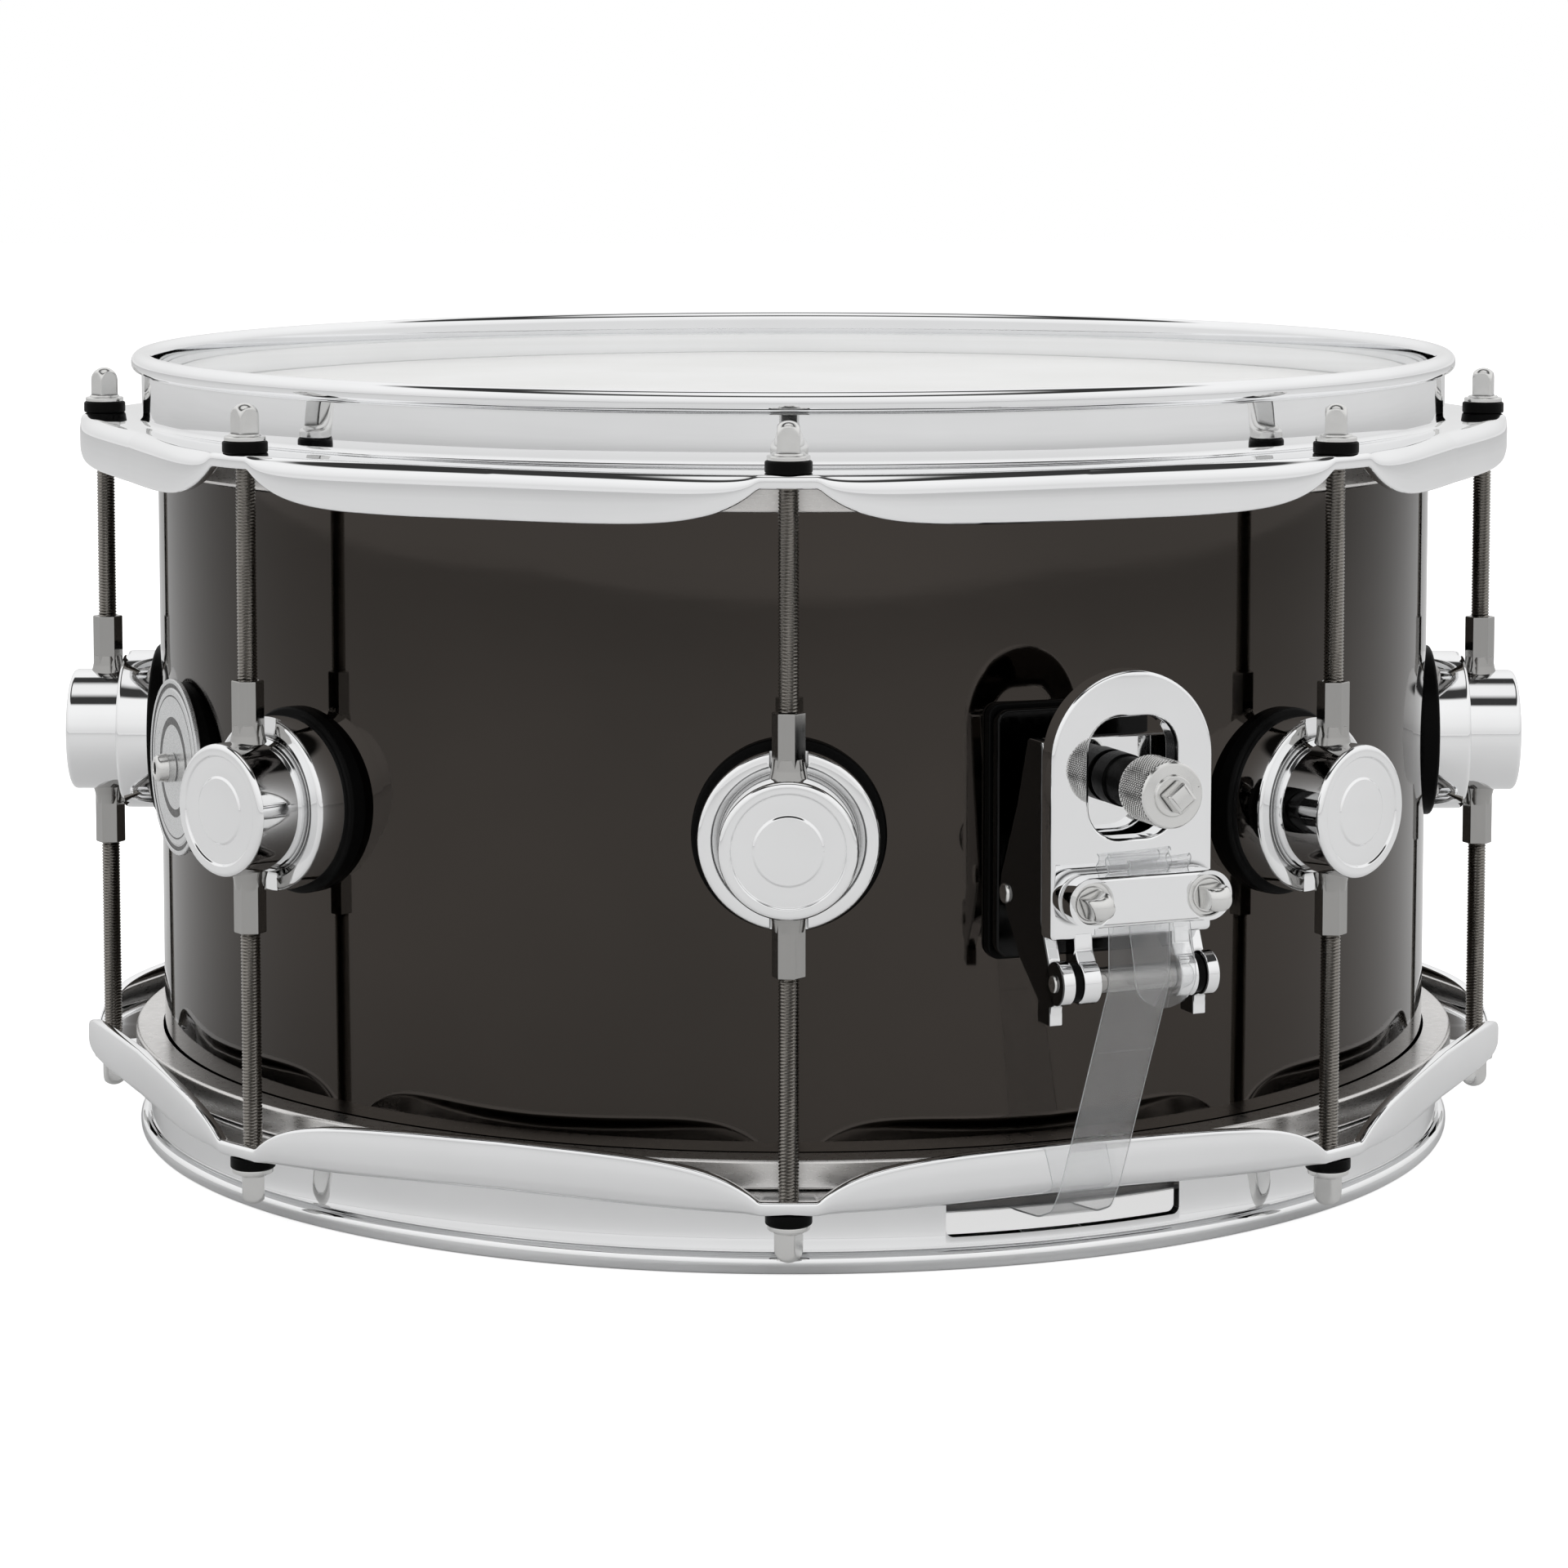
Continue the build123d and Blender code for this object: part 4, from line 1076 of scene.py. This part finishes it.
def make_butt():
    place = at(BUTT)
    rim = rounded([(-20.2, 42), (20.2, 42), (20.2, 68), (-20.2, 68)], 5.5)
    gasket = facing(rim, [], 163.2, 166, 0.4)
    outline = rounded([(-19.6, 43), (19.6, 43), (19.6, 67), (-19.6, 67)], 5.5, 8)
    body = facing(outline, [], 166, 176, 1.4, 5)
    strap = ribbon([
        (176.2, 62), (176.2, 44), (179.2, 33), (179.0, 19.5), (175.0, 13.4), (168, 10.6), (155, 9.35),
        (130, 9.2),
    ])
    clamp = clamp_shape(BUTT_CLAMP_START, BUTT_HEIGHT)
    add_piece("butt_gasket_pad", gasket.moved(place), "drum", RUBBER, ["butt_gasket"])
    add_piece("butt_block", body.moved(place), "drum", CAST_CHROME, ["butt_base"])
    add_piece("butt_clamp_bar", clamp.moved(place), "drum", CHROME, ["butt_clamp"])
    make_clamp_screws(place, BUTT_CLAMP_START, BUTT_HEIGHT, [
        ("butt_clamp_screw_left", "butt_screw_left", -1, 10),
        ("butt_clamp_screw_right", "butt_screw_right", 1, 35),
    ])
    flat = add_piece("butt_strap_flat", strap.moved(place), "drum", CLEAR_STRAP,
                     ["butt_strap"], weighted=False)
    side_finish_and_painted_reflection(flat, STRAP_EDGE, place @ Vector((0, 1, 0)))


def coil(length, radius, wire, pitch):
    """Coiled snare wire along X."""
    per_turn, section = 9, 5
    count = int(length / pitch * per_turn)
    q = np.arange(count + 1) * 2 * math.pi / per_turn
    x = np.linspace(-length / 2, length / 2, count + 1)
    rows = []
    for angle, along in zip(q, x):
        row = []
        for k in range(section):
            p = 2 * math.pi * k / section
            r = radius - wire + wire * math.cos(p)
            row.append((along + wire * math.sin(p), r * math.cos(angle), r * math.sin(angle)))
        rows.append(row)
    return capped(rows)


def make_wires():
    place = at(STRAINER)
    count, spacing, coil_radius = 20, 1.9, 0.85
    snare_film = 0.12
    one = coil(272, coil_radius, 0.2, 1.15)
    height = EDGE_LOW - snare_film - coil_radius
    wires = joined([
        one.moved(shift(0, (i - (count - 1) / 2) * spacing, height)) for i in range(count)
    ])
    add_piece("snare_wire_coils", wires.moved(place), "drum", WIRE, ["snare_wires"],
              weighted=False, merge=False)
    plate = slab(rounded([(128, -20.5), (146, -20.5), (146, 20.5), (128, 20.5)], 2.5),
                 [circle(138, side, 2.2, 24) for side in (-12, 0, 12)], 9.4, 10.15, 0.2)
    pair = plate.moved(at(STRAINER)) + plate.moved(at(BUTT))
    add_piece("snare_end_plate_pair", pair, "drum", ZINC, ["snare_end_plates"])


# ---------------------------------------------------------------- CAD nodes that stay

def finish_cad_nodes():
    looks = {
        "shell_screws": ZINC,
        "shell_screw_washers": ZINC,
        "strainer_barrel_nut": ZINC,
        "strainer_knob_washer": NYLON,
    }
    for name, material in looks.items():
        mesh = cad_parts[name].data
        mesh.materials.clear()
        mesh.materials.append(material)
        mesh.shade_smooth()
        mesh.set_sharp_from_angle(angle=math.radians(30))


make_shell()
make_heads()
make_hoops()
make_rods()
make_rod_washers()
make_lugs()
make_badge()
make_strainer()
make_butt()
make_wires()
finish_cad_nodes()


# ---------------------------------------------------------------- studio

def make_floor():
    mesh = bpy.data.meshes.new("floor")
    size = 6.0
    corners = [(-size, -size, 0), (size, -size, 0), (size, size, 0), (-size, size, 0)]
    mesh.from_pydata(corners, [], [(0, 1, 2, 3)])
    floor = bpy.data.objects.new("floor", mesh)
    bpy.context.scene.collection.objects.link(floor)
    material, nodes, links, principled = new_material("floor_white")
    cloud = noise(nodes, links, 3, 2)
    camera_glow = 0.70
    rays = nodes.new("ShaderNodeLightPath")
    lit = ramp(nodes, links, cloud, [(0.3, 0.74), (0.7, 0.76)])
    links.new(lit, principled.inputs["Base Color"])
    principled.inputs["Roughness"].default_value = 0.9
    principled.inputs["Specular IOR Level"].default_value = 0.0
    glow = nodes.new("ShaderNodeMath")
    glow.operation = "MULTIPLY"
    glow.inputs[1].default_value = camera_glow
    links.new(rays.outputs["Is Camera Ray"], glow.inputs[0])
    principled.inputs["Emission Color"].default_value = (1, 1, 1, 1)
    links.new(glow.outputs["Value"], principled.inputs["Emission Strength"])
    mesh.materials.append(material)


def make_world():
    """Pale studio with one narrow dark band high up for the metal to reflect; white to the camera."""
    world = bpy.data.worlds.new("studio")
    bpy.context.scene.world = world
    world.use_nodes = True
    nodes, links = world.node_tree.nodes, world.node_tree.links
    background = nodes["Background"]
    coordinates = nodes.new("ShaderNodeTexCoord")
    parts = nodes.new("ShaderNodeSeparateXYZ")
    links.new(coordinates.outputs["Generated"], parts.inputs["Vector"])
    rise = nodes.new("ShaderNodeMath")
    rise.operation = "MULTIPLY_ADD"
    rise.inputs[1].default_value = 0.5
    rise.inputs[2].default_value = 0.5
    links.new(parts.outputs["Z"], rise.inputs[0])
    sky = ramp(nodes, links, rise.outputs["Value"], [
        (0.0, 0.80), (0.495, 0.80), (0.52, 0.76), (0.62, 0.88), (0.80, 0.97), (0.885, 0.97),
        (0.905, 0.04), (0.955, 0.04), (0.975, 0.92), (1.0, 0.97),
    ])
    links.new(sky, background.inputs["Color"])
    plain = nodes.new("ShaderNodeBackground")
    plain.inputs["Color"].default_value = (1, 1, 1, 1)
    rays = nodes.new("ShaderNodeLightPath")
    mix = nodes.new("ShaderNodeMixShader")
    links.new(rays.outputs["Is Camera Ray"], mix.inputs["Fac"])
    links.new(background.outputs["Background"], mix.inputs[1])
    links.new(plain.outputs["Background"], mix.inputs[2])
    links.new(mix.outputs["Shader"], nodes["World Output"].inputs["Surface"])


def make_light(name, location, target, size, power):
    data = bpy.data.lights.new(name, "AREA")
    data.shape = "RECTANGLE"
    data.size, data.size_y = size
    data.energy = power
    light = bpy.data.objects.new(name, data)
    light.location = location
    light.visible_glossy = False
    light.rotation_euler = (Vector(target) - Vector(location)).to_track_quat("-Z", "Y").to_euler()
    bpy.context.scene.collection.objects.link(light)


def make_camera():
    data = bpy.data.cameras.new("camera")
    data.sensor_width = 36
    data.lens = 104.3
    data.shift_x = -0.0059
    data.shift_y = -0.1828
    data.clip_start = 0.05
    camera = bpy.data.objects.new("camera", data)
    distance, height, pitch, yaw = 1.1836, 0.2733, 5.37, 0.33
    q = math.radians(yaw)
    camera.location = (distance * math.sin(q), -distance * math.cos(q), height)
    camera.rotation_euler = (math.radians(90 - pitch), 0, q)
    bpy.context.scene.collection.objects.link(camera)
    bpy.context.scene.camera = camera


make_floor()
make_world()
make_light("overhead", (0.3, -0.3, 2.2), (0, 0, 0), (2.4, 2.4), 18)
make_camera()
bpy.context.scene.view_settings.view_transform = "Standard"
